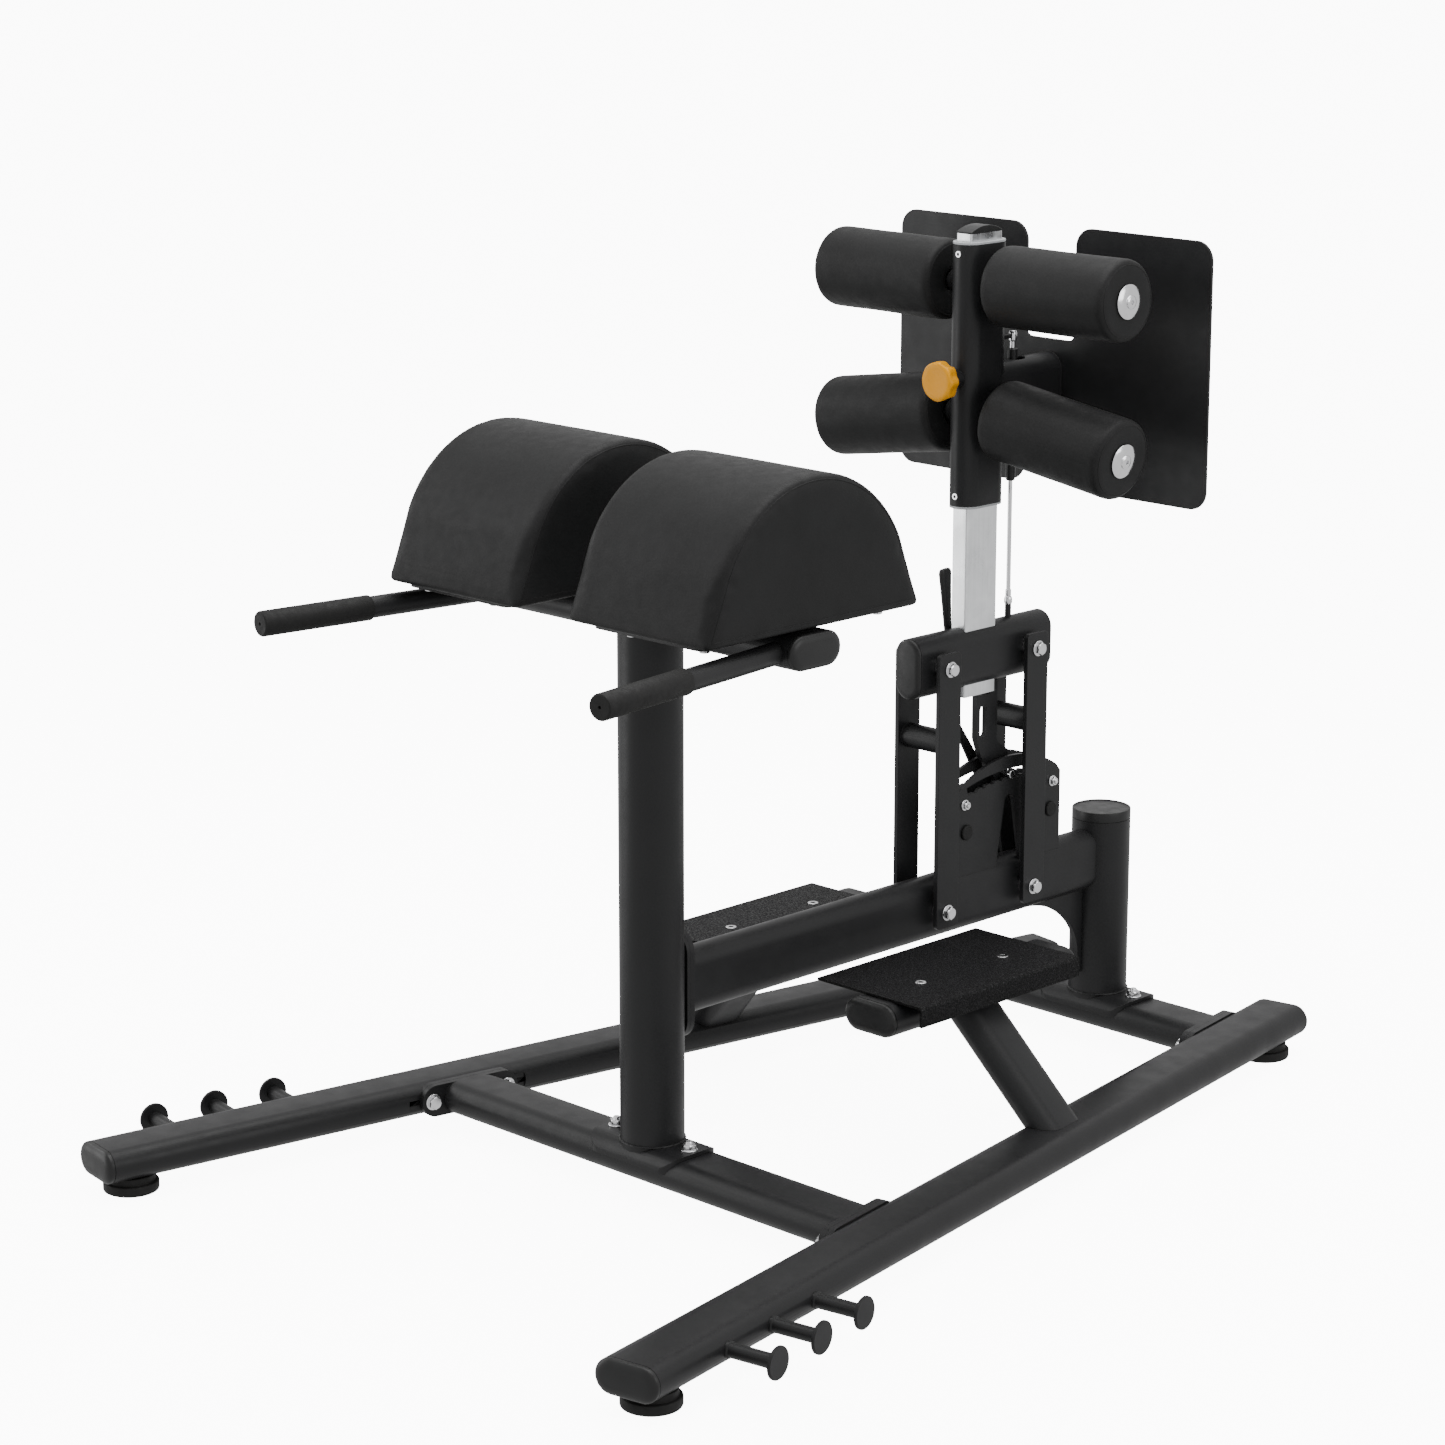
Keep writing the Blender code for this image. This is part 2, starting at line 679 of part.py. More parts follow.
def pad_outline():
    """Side view of a pad: flat base, leaning straight flanks and a round crown."""
    crown = PAD_HEIGHT - PAD_CROWN_RADIUS
    reach = math.hypot(PAD_HALF_DEPTH, crown)
    lean = math.atan2(-crown, PAD_HALF_DEPTH) + math.acos(PAD_CROWN_RADIUS / reach)
    points = [(PAD_HALF_DEPTH, 0.0)]
    points += arc((0, crown), PAD_CROWN_RADIUS, lean, math.pi - lean, LARGE_STEPS)
    points.append((-PAD_HALF_DEPTH, 0.0))
    return points


def pads():
    for side, name in ((1, "right"), (-1, "left")):
        start = Vector((side * PAD_INNER_X, FRONT_POST_Y, PAD_BOTTOM))
        width = PAD_OUTER_X - PAD_INNER_X
        cushion = prism(pad_outline(), width, frame(start, side * X_AXIS))
        keep(cushion, name + "_pad", "vinyl_black")
        plate_z = PAD_BOTTOM - GAP - PAD_PLATE_THICKNESS
        centre = (side * PAD_PLATE_X, FRONT_POST_Y)
        outline = rounded(PAD_PLATE_WIDTH, PAD_PLATE_DEPTH, PAD_PLATE_CORNER, centre)
        plate = prism(outline, PAD_PLATE_THICKNESS, Matrix.Translation((0, 0, plate_z)))
        keep(plate, name + "_pad_plate", "powder_black")


# ---------------------------------------------------------------- beam and steps

def pivot_hole(y, z, radius):
    return rod((-HOLE_REACH, y, z), (HOLE_REACH, y, z), radius)


def beam_bar(grow):
    start = Vector((0, BEAM_FLANGE_Y - BITE, BEAM_Z))
    end = Vector((0, REAR_POST_Y, BEAM_Z))
    return oval_tube(start, end, BEAM_WIDTH, BEAM_HEIGHT, wall=0, grow=grow)


def main_beam():
    start = Vector((0, BEAM_FLANGE_Y - BITE, BEAM_Z))
    beam = oval_tube(start, Vector((0, REAR_POST_Y, BEAM_Z)), BEAM_WIDTH, BEAM_HEIGHT)
    plate_start = Vector((0, BEAM_FLANGE_Y - BEAM_FLANGE_THICKNESS, BEAM_Z))
    outline = oval(BEAM_FLANGE_WIDTH, BEAM_FLANGE_HEIGHT)
    join(beam, prism(outline, BEAM_FLANGE_THICKNESS, frame(plate_start, Y_AXIS)), gusset())
    post_top = (0, REAR_POST_Y, REAR_CAP_TOP)
    cut(beam, rod((0, REAR_POST_Y, 0), post_top, POST_RADIUS + GAP, steps=LARGE_STEPS))
    for y in (FRONT_PIVOT_Y, REAR_PIVOT_Y):
        cut(beam, pivot_hole(y, BEAM_Z, AXLE_RADIUS + AXLE_RUN_GAP))
    keep(beam, "main_beam", "powder_black")


def gusset():
    """Plate with a hollow curved edge in the corner under the beam."""
    corner = (REAR_POST_Y - POST_RADIUS, BEAM_Z - BEAM_HEIGHT / 2)
    reach = GUSSET_REACH - GUSSET_EDGE
    points = [(corner[0] + GUSSET_EDGE, corner[1] + BITE),
              (corner[0] - GUSSET_REACH, corner[1] + BITE)]
    for step in range(HALF_TURN_STEPS + 1):
        angle = math.pi / 2 * (1 - step / HALF_TURN_STEPS)
        y = corner[0] - GUSSET_REACH + reach * math.cos(angle)
        z = corner[1] - GUSSET_DROP + GUSSET_DROP * math.sin(angle)
        points.append((y, z))
    tail = corner[1] - GUSSET_DROP - GUSSET_TAIL
    points += [(corner[0] - GUSSET_EDGE, tail), (corner[0] + GUSSET_EDGE, tail)]
    return prism(points, GUSSET_THICKNESS, frame((-GUSSET_THICKNESS / 2, 0, 0), X_AXIS))


def step_tube(side, wall, shrink=0.0):
    top = STEP_TOP - STEP_THICKNESS - GAP
    z = top - RAIL_HEIGHT / 2
    start = Vector((side * STEP_TUBE_X, STEP_TUBE_FRONT_Y, z))
    end = Vector((side * STEP_TUBE_X, STEP_TUBE_REAR_Y, z))
    return oval_tube(start, end, RAIL_WIDTH, RAIL_HEIGHT, wall=wall, grow=-shrink)


def step_bracket(side, name):
    """Tube under the step with a strut that leans in from the rail."""
    line = rail_line(side)
    inward = Vector((-side * abs(line.y), -abs(line.x), 0))
    foot_point = rail_point(STRUT_FOOT_Y, side) + Z_AXIS * (RAIL_HEIGHT / 2 - STRUT_SUNK)
    head = foot_point + inward * STRUT_RUN
    head.z = STEP_TOP - STEP_THICKNESS - RAIL_HEIGHT + STRUT_RISE
    strut = oval_tube(foot_point, head, STRUT_DEPTH, STRUT_WIDTH, up=line)
    cut(strut, step_tube(side, 0, BITE))
    front, rear = rail_ends(side)
    cut(strut, oval_tube(front, rear, RAIL_WIDTH, RAIL_HEIGHT, wall=0, grow=GAP))
    keep(join(step_tube(side, WALL), strut), name + "_step_bracket", "powder_black")


def step_plate(side, name):
    """Bent tread: a flat top with a turned-down outer lip."""
    width = STEP_OUTER_X - STEP_INNER_X
    drop = STEP_TOP - STEP_LIP_BOTTOM
    middle = (width - STEP_BEND, -STEP_BEND)
    outer = arc(middle, STEP_BEND, math.pi / 2, 0, CORNER_STEPS)
    inner = arc(middle, STEP_BEND - STEP_THICKNESS, 0, math.pi / 2, CORNER_STEPS)
    points = [(0, 0)] + outer + [(width, -drop), (width - STEP_THICKNESS, -drop)] + inner
    points.append((0, -STEP_THICKNESS))
    length = STEP_REAR_Y - STEP_FRONT_Y
    along = -side * Y_AXIS
    start_y = STEP_REAR_Y if side > 0 else STEP_FRONT_Y
    start = Vector((side * STEP_INNER_X, start_y, STEP_TOP))
    keep(prism(points, length, frame(start, along)), name + "_step_plate", "grit_black")


# ---------------------------------------------------------------- links and carriage

def link(y, name):
    """Two flat bars with a tie tube welded between them."""
    length = CARRIAGE_Z - BEAM_Z + 2 * LINK_END
    middle = (y, (CARRIAGE_Z + BEAM_Z) / 2)
    outline = rounded(LINK_WIDTH, length, LINK_CORNER, middle)
    bars = prism(outline, LINK_THICKNESS, frame((LINK_INNER_X, 0, 0), X_AXIS))
    tie_end = LINK_INNER_X + BITE
    join(bars, rod((-tie_end, y, LINK_TIE_Z), (tie_end, y, LINK_TIE_Z), LINK_TIE_RADIUS))
    far = Vector((-LINK_INNER_X - LINK_THICKNESS, 0, 0))
    join(bars, prism(outline, LINK_THICKNESS, frame(far, X_AXIS)))
    for z in (BEAM_Z, CARRIAGE_Z):
        cut(bars, pivot_hole(y, z, AXLE_RADIUS + AXLE_RUN_GAP))
    keep(bars, name, "powder_black", (0, y, BEAM_Z))


def pivot_axle(y, z, name):
    """Through bolt with its spacers and washers, turned in one."""
    inner = BEAM_WIDTH / 2 + GAP
    outer = LINK_INNER_X - GAP
    face = LINK_INNER_X + LINK_THICKNESS + GAP
    half = [
        (AXLE_RADIUS, inner), (AXLE_BOSS_RADIUS, inner), (AXLE_BOSS_RADIUS, outer),
        (AXLE_RADIUS, outer), (AXLE_RADIUS, face), (AXLE_WASHER_RADIUS, face),
        (AXLE_HEAD_RADIUS, face + AXLE_HEAD)]
    profile = [(0, -half[-1][1])] + [(r, -h) for r, h in reversed(half)] + half
    profile.append((0, half[-1][1]))
    keep(turned(profile, frame((0, y, z), X_AXIS), SMALL_STEPS), name, "chrome", (0, y, z))


def carriage():
    start = Vector((0, CARRIAGE_FRONT_Y, CARRIAGE_Z))
    end = Vector((0, CARRIAGE_REAR_Y, CARRIAGE_Z))
    tube = oval_tube(start, end, CARRIAGE_WIDTH, CARRIAGE_HEIGHT)
    for y in (FRONT_PIVOT_Y, REAR_PIVOT_Y):
        cut(tube, pivot_hole(y, CARRIAGE_Z, AXLE_RADIUS + AXLE_RUN_GAP))
    half = Vector((MAST_WIDTH / 2 + GAP, MAST_DEPTH / 2 + GAP, 0))
    middle = Vector((0, MAST_Y, 0))
    cut(tube, box(middle - half + Z_AXIS * BEAM_Z, middle + half + Z_AXIS * SLEEVE_BOTTOM))
    stud_low = (0, SPRING_Y, CARRIAGE_Z + CARRIAGE_HEIGHT / 2 - BITE)
    stud_high = (0, SPRING_Y, ROD_BOTTOM - GAP)
    join(tube, rod(stud_low, stud_high, SPRING_STUD_RADIUS, steps=SMALL_STEPS))
    keep(tube, "carriage_tube", "powder_black", (0, FRONT_PIVOT_Y, CARRIAGE_Z))
    for end_name, point, out in (("front", start, -Y_AXIS), ("rear", end, Y_AXIS)):
        cap = dome(CARRIAGE_WIDTH, CARRIAGE_HEIGHT, frame(point + out * GAP, out),
                   CARRIAGE_CAP_BASE, CARRIAGE_CAP_DOME)
        keep(cap, f"carriage_{end_name}_cap", "plastic_black")


def mast_outline(inset=0.0, centre=(0.0, 0.0)):
    corner = max(MAST_CORNER - inset, GAP)
    return rounded(MAST_WIDTH - 2 * inset, MAST_DEPTH - 2 * inset, corner, centre)


def mast():
    """Bright rectangular post that the sleeve slides on."""
    base = frame((0, MAST_Y, MAST_BOTTOM), Z_AXIS, Y_AXIS)
    tube = prism(mast_outline(), MAST_TOP - MAST_BOTTOM, base, mast_outline(WALL))
    front = MAST_Y - MAST_DEPTH / 2
    slot_half = PIN_TIP_RADIUS + PIN_PLAY
    lowest = KNOB_Z - (HEIGHT_HOLES - 1) * HEIGHT_PITCH
    cut(tube, box((-slot_half, front - WALL, lowest), (slot_half, front + 2 * WALL, KNOB_Z)))
    for number in range(HEIGHT_HOLES):
        z = KNOB_Z - number * HEIGHT_PITCH
        hole_end = (0, front + 2 * WALL, z)
        cut(tube, rod((0, front - WALL, z), hole_end, HEIGHT_HOLE_RADIUS, steps=SMALL_STEPS))
    keep(tube, "mast", "steel_brushed")
    mast_cap()


def mast_cap():
    """Plug with a top that is arched from front to rear."""
    low = MAST_TOP + GAP
    rise = MAST_CAP_TOP - low - MAST_CAP_EDGE
    half = MAST_DEPTH / 2
    radius = (half ** 2 + rise ** 2) / (2 * rise)
    spread = math.asin(half / radius)
    crown = arc((MAST_Y, MAST_CAP_TOP - radius), radius,
                math.pi / 2 - spread, math.pi / 2 + spread, HALF_TURN_STEPS)
    points = [(MAST_Y - half, low), (MAST_Y + half, low)] + crown
    cap = prism(points, MAST_WIDTH, frame((-MAST_WIDTH / 2, 0, 0), X_AXIS))
    plug = mast_outline(WALL + MAST_PLUG_PLAY, (0, MAST_Y))
    join(cap, prism(plug, MAST_PLUG + BITE, Matrix.Translation((0, 0, low - MAST_PLUG))))
    keep(cap, "mast_cap", "plastic_black")


# ---------------------------------------------------------------- quadrant and lock

def swing_point(turn, drop=0.0):
    """Where the lock pin lies when the links have swung by an angle."""
    length = CARRIAGE_Z - BEAM_Z
    low = LOCK_Z - length
    return QUADRANT_Y + (length - drop) * math.sin(turn), low + (length - drop) * math.cos(turn)


def lock_slot():
    """Curved slot along the path of the lock pin and of the lever's pivot beside it."""
    length = CARRIAGE_Z - BEAM_Z
    centre = (QUADRANT_Y, LOCK_Z - length)
    play = LOCK_PIN_RADIUS + LOCK_PLAY
    rear = math.pi / 2 - SWING_LIMIT - play / length
    front = math.pi / 2 + SWING_LIMIT + (play + LEVER_ARM) / length
    points = arc(centre, length + play + LOCK_LIFT, rear, front, SMALL_STEPS)
    points += arc(centre, length - play, front, rear, SMALL_STEPS)
    return points


def quadrant_outline():
    half = QUADRANT_HALF_LENGTH
    start = math.acos((half - QUADRANT_SHOULDER) / QUADRANT_ARC_RADIUS)
    points = [(QUADRANT_Y - half, QUADRANT_BOTTOM), (QUADRANT_Y + half, QUADRANT_BOTTOM)]
    points.append((QUADRANT_Y + half, QUADRANT_SHOULDER_Z))
    centre = (QUADRANT_Y, QUADRANT_ARC_Z)
    points += arc(centre, QUADRANT_ARC_RADIUS, start, math.pi - start, SMALL_STEPS)
    points.append((QUADRANT_Y - half, QUADRANT_SHOULDER_Z))
    return points


def window_outline():
    """Tapered window with a rounded top, open to the beam."""
    crown = arc((QUADRANT_Y, WINDOW_TOP), WINDOW_RADIUS, WINDOW_LEAN, math.pi - WINDOW_LEAN,
                HALF_TURN_STEPS)
    return [(QUADRANT_Y - WINDOW_HALF_WIDTH, WINDOW_BOTTOM),
            (QUADRANT_Y + WINDOW_HALF_WIDTH, WINDOW_BOTTOM)] + crown


def quadrant_plate(side, name):
    near = QUADRANT_INNER_X if side > 0 else -QUADRANT_INNER_X - QUADRANT_THICKNESS
    plate = prism(quadrant_outline(), QUADRANT_THICKNESS, frame((near, 0, 0), X_AXIS))
    through = frame((-HOLE_REACH, 0, 0), X_AXIS)
    depth = 2 * HOLE_REACH
    cut(plate, prism(window_outline(), depth, through), prism(lock_slot(), depth, through))
    for number in range(NOTCH_COUNT):
        turn = SWING_LIMIT * (2 * number / (NOTCH_COUNT - 1) - 1)
        notch = circle(NOTCH_RADIUS, SMALL_STEPS, swing_point(turn, NOTCH_DROP))
        cut(plate, prism(notch, depth, through))
    for reach in (-SPACER_REACH, SPACER_REACH):
        cut(plate, pivot_hole(QUADRANT_Y + reach, SPACER_Z, SPACER_BOLT_RADIUS + GAP))
    keep(cut(plate, beam_bar(GAP)), name + "_quadrant_plate", "powder_black")


def spacer_bolt(reach, name):
    """Bolt and spacer that hold the two quadrant plates apart."""
    inner = QUADRANT_INNER_X - GAP
    outer = QUADRANT_INNER_X + QUADRANT_THICKNESS + GAP
    half = [
        (SPACER_RADIUS, inner), (SPACER_BOLT_RADIUS, inner), (SPACER_BOLT_RADIUS, outer),
        (SPACER_HEAD_RADIUS, outer), (SPACER_HEAD_RADIUS, outer + SPACER_HEAD),
        (SPACER_BOLT_RADIUS, outer + SPACER_END)]
    profile = [(0, -half[-1][1])] + [(r, -h) for r, h in reversed(half)] + half
    profile.append((0, half[-1][1]))
    place = frame((0, QUADRANT_Y + reach, SPACER_Z), X_AXIS)
    keep(turned(profile, place, SMALL_STEPS), name, "chrome")


def lock_hanger():
    """Plate under the carriage that guides the lock pin and carries the lever's pivot."""
    top = CARRIAGE_Z - CARRIAGE_HEIGHT / 2 - 2 * GAP
    back = MAST_Y + MAST_DEPTH / 2 + GAP
    low = MAST_BOTTOM - HANGER_MAST_GAP
    outline = [(QUADRANT_Y + y, LOCK_Z + z) for y, z in HANGER_OUTLINE]
    points = [(back, top), (back + HANGER_TAB, top)] + outline + [(outline[-1][0], low), (back, low)]
    plate = prism(points, HANGER_THICKNESS, frame((-HANGER_THICKNESS / 2, 0, 0), X_AXIS))
    head = -LEVER_X + LEVER_BAR / 2 + GAP
    rivet = [(0, 0), (RIVET_RADIUS, 0), (RIVET_RADIUS, head), (RIVET_HEAD_RADIUS, head),
             (RIVET_HEAD_RADIUS, head + RIVET_HEAD), (0, head + RIVET_HEAD)]
    join(plate, turned(rivet, frame(lever_pivot(0), -X_AXIS), SMALL_STEPS))
    play = 2 * (LOCK_PIN_RADIUS + LOCK_PLAY)
    slot_start = frame((-HOLE_REACH, QUADRANT_Y, LOCK_Z + LOCK_LIFT / 2), X_AXIS)
    cut(plate, prism(oval(play, play + LOCK_LIFT), 2 * HOLE_REACH, slot_start))
    keep(plate, "lock_hanger", "powder_black", (0, FRONT_PIVOT_Y, CARRIAGE_Z))


def lever_pivot(x):
    return Vector((x, QUADRANT_Y - LEVER_ARM, LOCK_Z + LEVER_RISE))


def lock_pin():
    """Bright cross pin through the hanger and both plates, held by the lever."""
    tip = -LEVER_X - LEVER_BAR / 2 - GAP
    head = QUADRANT_INNER_X + QUADRANT_THICKNESS + PIN_HEAD_PLAY
    profile = [
        (0, -head - PIN_HEAD), (PIN_HEAD_RADIUS, -head - PIN_HEAD), (PIN_HEAD_RADIUS, -head),
        (LOCK_PIN_RADIUS, -head), (LOCK_PIN_RADIUS, tip), (0, tip)]
    place = frame((0, QUADRANT_Y, LOCK_Z), -X_AXIS)
    keep(turned(profile, place, SMALL_STEPS), "lock_pin", "chrome", (0, QUADRANT_Y, LOCK_Z))


def lock_lever():
    """Hand lever beside the carriage: a bent flat bar with a tapered grip."""
    points = [(QUADRANT_Y + y, LOCK_Z + z) for y, z in LEVER_OUTLINE]
    lever = prism(points, LEVER_BAR, frame((LEVER_X - LEVER_BAR / 2, 0, 0), X_AXIS))
    start = (LEVER_X, QUADRANT_Y + LEVER_GRIP_START[0], LOCK_Z + LEVER_GRIP_START[1])
    sections = [(oval(thickness, width), height) for thickness, width, height in LEVER_GRIP]
    join(lever, stacked(sections, frame(start, (0, *LEVER_GRIP_LEAN), Y_AXIS)))
    pivot = lever_pivot(LEVER_X)
    cut(lever, pivot_hole(pivot.y, pivot.z, RIVET_RADIUS + AXLE_RUN_GAP))
    keep(lever, "lock_lever", "plastic_black", pivot)


# ---------------------------------------------------------------- sleeve and rollers

def roller_line(side, z, drop):
    """Inner end and outward direction of a roller's axis."""
    line = Vector((side * math.cos(drop), 0, -math.sin(drop)))
    start = Vector((side * ROLLER_START, MAST_Y, z))
    return start, line


def rollers():
    """Each roller's name, side, height and droop."""
    return (
        ("upper_right", 1, UPPER_ROLLER_Z, 0.0), ("upper_left", -1, UPPER_ROLLER_Z, 0.0),
        ("lower_right", 1, LOWER_ROLLER_Z, LOWER_ROLLER_DROP),
        ("lower_left", -1, LOWER_ROLLER_Z, LOWER_ROLLER_DROP))


def sleeve():
    start = Vector((0, MAST_Y, SLEEVE_BOTTOM))
    end = Vector((0, MAST_Y, SLEEVE_TOP))
    tube = oval_tube(start, end, SLEEVE_WIDTH, SLEEVE_DEPTH, up=Y_AXIS)
    for _, side, z, drop in rollers():
        root, line = roller_line(side, z, drop)
        begin = root - line * (ROLLER_START - SLEEVE_WIDTH / 2 + BITE)
        join(tube, rod(begin, root + line * (ROLLER_LENGTH - STUB_INSET), STUB_RADIUS))
        join(tube, rod(begin, root - line * COLLAR_GAP, COLLAR_RADIUS))
    front = MAST_Y - SLEEVE_DEPTH / 2
    boss_end = Vector((0, front + BITE, KNOB_Z))
    join(tube, rod((0, front - BOSS_REACH, KNOB_Z), boss_end, BOSS_RADIUS))
    bore_start = (0, front - 2 * BOSS_REACH, KNOB_Z)
    cut(tube, rod(bore_start, (0, front + 2 * WALL, KNOB_Z), BOSS_BORE))
    rear = MAST_Y + SLEEVE_DEPTH / 2
    stud_end = (0, SPRING_Y - EYE_STUD_GAP, SPRING_EYE_Z)
    join(tube, rod((0, rear - BITE, SPRING_EYE_Z), stud_end, EYE_STUD_RADIUS, steps=SMALL_STEPS))
    keep(tube, "sleeve", "powder_black", (0, MAST_Y, SLEEVE_BOTTOM))


def bush(z, out, name):
    """Plastic liner ring between the sleeve and the mast, with a thin rim."""
    inner = mast_outline(-BUSH_PLAY)
    place = frame((0, MAST_Y, z + out * GAP), (0, 0, out), Y_AXIS)
    rim = prism(oval(SLEEVE_WIDTH, SLEEVE_DEPTH), BUSH_RIM, place, inner)
    back = frame((0, MAST_Y, z + out * (GAP + BUSH_SUNK)), (0, 0, -out), Y_AXIS)
    body = prism(oval(SLEEVE_WIDTH, SLEEVE_DEPTH, -WALL - GAP), BUSH_LENGTH, back, inner)
    keep(join(rim, body), name, "bush_grey", (0, MAST_Y, z))


def roller(name, side, z, drop):
    """Padded roller: a tube with round edges, free on its stub axle."""
    root, line = roller_line(side, z, drop)
    edge = ROLLER_EDGE
    outer = ROLLER_RADIUS
    profile = [(ROLLER_BORE, 0.0), (outer - edge, 0.0)]
    profile += arc((outer - edge, edge), edge, -math.pi / 4, 0, 1)
    profile += arc((outer - edge, ROLLER_LENGTH - edge), edge, 0, math.pi / 4, 1)
    profile += [(outer - edge, ROLLER_LENGTH), (ROLLER_BORE, ROLLER_LENGTH)]
    pad = turned(profile, frame(root, line), LARGE_STEPS, closed=True)
    keep(pad, name + "_roller", "vinyl_black", root)
    low = ROLLER_LENGTH + GAP
    top = low + ROLLER_CAP_HEIGHT
    disc = [
        (0, low), (ROLLER_CAP_RADIUS, low), (ROLLER_CAP_RADIUS, low + ROLLER_CAP_EDGE),
        (ROLLER_CAP_TOP_RADIUS, top), (0, top)]
    keep(turned(disc, frame(root, line)), name + "_roller_cap", "chrome", root)


def foot_plate():
    """Two foot boards joined by a web, on an arm from the sleeve."""
    face = frame((0, PLATE_FACE_Y + PLATE_THICKNESS, 0), -Y_AXIS)
    width = PLATE_OUTER_X - PLATE_INNER_X
    height = PLATE_TOP - PLATE_BOTTOM
    middle = ((PLATE_OUTER_X + PLATE_INNER_X) / 2, (PLATE_TOP + PLATE_BOTTOM) / 2)
    reach = PLATE_INNER_X + WEB_OVERLAP
    low = WEB_BOTTOM - NOTCH_CORNER
    high = WEB_TOP + NOTCH_CORNER
    plate = prism([(-reach, low), (reach, low), (reach, high), (-reach, high)], PLATE_THICKNESS, face)
    for side in (1, -1):
        board = rounded(width, height, PLATE_CORNER, (side * middle[0], middle[1]))
        join(plate, prism(board, PLATE_THICKNESS, face))
    through = face @ Matrix.Translation((0, 0, -PLATE_THICKNESS))
    for notch_z in (WEB_TOP + height / 2, WEB_BOTTOM - height / 2):
        notch = rounded(2 * PLATE_INNER_X, height, NOTCH_CORNER, (0, notch_z))
        cut(plate, prism(notch, 3 * PLATE_THICKNESS, through))
    start = Vector((0, MAST_Y, ARM_Z))
    arm_end = Vector((0, PLATE_FACE_Y + BITE, ARM_Z))
    arm = oval_tube(start, arm_end, SLEEVE_WIDTH, SLEEVE_DEPTH)
    sleeve_start = Vector((0, MAST_Y, SLEEVE_BOTTOM))
    sleeve_end = Vector((0, MAST_Y, SLEEVE_TOP))
    cut(arm, oval_tube(sleeve_start, sleeve_end, SLEEVE_WIDTH, SLEEVE_DEPTH, Y_AXIS, 0, GAP))
    slot_start = frame((0, ARM_SLOT_Y, SLEEVE_BOTTOM), Z_AXIS, Y_AXIS)
    slot = prism(oval(ARM_SLOT_WIDTH, ARM_SLOT_DEPTH), SLEEVE_TOP - SLEEVE_BOTTOM, slot_start)
    keep(join(cut(arm, slot), plate), "foot_plate", "powder_black")


# ---------------------------------------------------------------- height pin and gas spring

def height_pin():
    """Lobed knob with its shaft and a thin tip in the mast's guide slot."""
    steps = KNOB_LOBES * CORNER_STEPS
    turns = [2 * math.pi * step / steps for step in range(steps)]

    def lobed(scale):
        radii = [scale * (KNOB_RADIUS + KNOB_LOBE * math.cos(KNOB_LOBES * a)) for a in turns]
        return [(r * math.cos(a), r * math.sin(a)) for r, a in zip(radii, turns)]

    place = frame((0, KNOB_FACE_Y, KNOB_Z), Y_AXIS)
    sections = [(lobed(KNOB_FACE_SCALE), 0.0), (lobed(1.0), KNOB_EDGE), (lobed(1.0), KNOB_LENGTH)]
    knob = stacked(sections, place)
    front = MAST_Y - SLEEVE_DEPTH / 2
    neck_start = KNOB_LENGTH - BITE
    neck_end = front - BOSS_REACH - 3 * GAP - KNOB_FACE_Y
    shaft_end = MAST_Y - MAST_DEPTH / 2 - PIN_TIP_GAP - KNOB_FACE_Y
    tip_end = shaft_end + PIN_TIP
    profile = [
        (0, neck_start), (PIN_NECK_RADIUS, neck_start), (PIN_NECK_RADIUS, neck_end),
        (PIN_SHAFT_RADIUS, neck_end), (PIN_SHAFT_RADIUS, shaft_end), (PIN_TIP_RADIUS, shaft_end),
        (PIN_TIP_RADIUS, tip_end), (0, tip_end)]
    join(knob, turned(profile, place, SMALL_STEPS))
    keep(knob, "height_pin_knob", "amber_plastic", (0, KNOB_FACE_Y, KNOB_Z))


def gas_spring():
    place = Matrix.Translation((0, SPRING_Y, 0))
    eye = SPRING_EYE_Z
    profile = [
        (ROD_BORE, SPRING_BOTTOM), (SPRING_RADIUS, SPRING_BOTTOM), (SPRING_RADIUS, SPRING_TOP),
        (SPRING_NECK_RADIUS, SPRING_TOP), (SPRING_NECK_RADIUS, eye - EYE_REACH),
        (EYE_RADIUS, eye - EYE_REACH), (EYE_RADIUS, eye + EYE_REACH), (0, eye + EYE_REACH),
        (0, SPRING_TOP - SPRING_HEAD), (ROD_BORE, SPRING_TOP - SPRING_HEAD)]
    keep(turned(profile, place, SMALL_STEPS, closed=True), "gas_spring_cylinder",
         "plastic_black", (0, SPRING_Y, SPRING_BOTTOM))
    low = ROD_BOTTOM
    rod_top = SPRING_BOTTOM + ROD_OVERLAP
    shaft = [
        (0, low), (SOCKET_RADIUS, low), (SOCKET_RADIUS, low + SOCKET_LOW),
        (SOCKET_TOP_RADIUS, low + SOCKET_TOP), (ROD_RADIUS, low + SOCKET_TOP),
        (ROD_RADIUS, rod_top), (0, rod_top)]
    keep(turned(shaft, place, SMALL_STEPS), "gas_spring_rod", "chrome", (0, SPRING_Y, low))


# ---------------------------------------------------------------- build

def clear_scene():
    for item in list(bpy.data.objects):
        bpy.data.objects.remove(item)


def make_materials():
    for name, (colour, roughness, metallic) in MATERIALS.items():
        material = bpy.data.materials.new(name)
        material.use_nodes = True
        shader = material.node_tree.nodes["Principled BSDF"]
        shader.inputs["Base Color"].default_value = (*colour, 1.0)
        shader.inputs["Roughness"].default_value = roughness
        shader.inputs["Metallic"].default_value = metallic
        material.diffuse_color = (*colour, 1.0)


def make_bench():
    bench = bpy.data.objects.new("bench", None)
    bench.location = (0, BENCH_SHIFT_Y, 0)
    bpy.context.scene.collection.objects.link(bench)


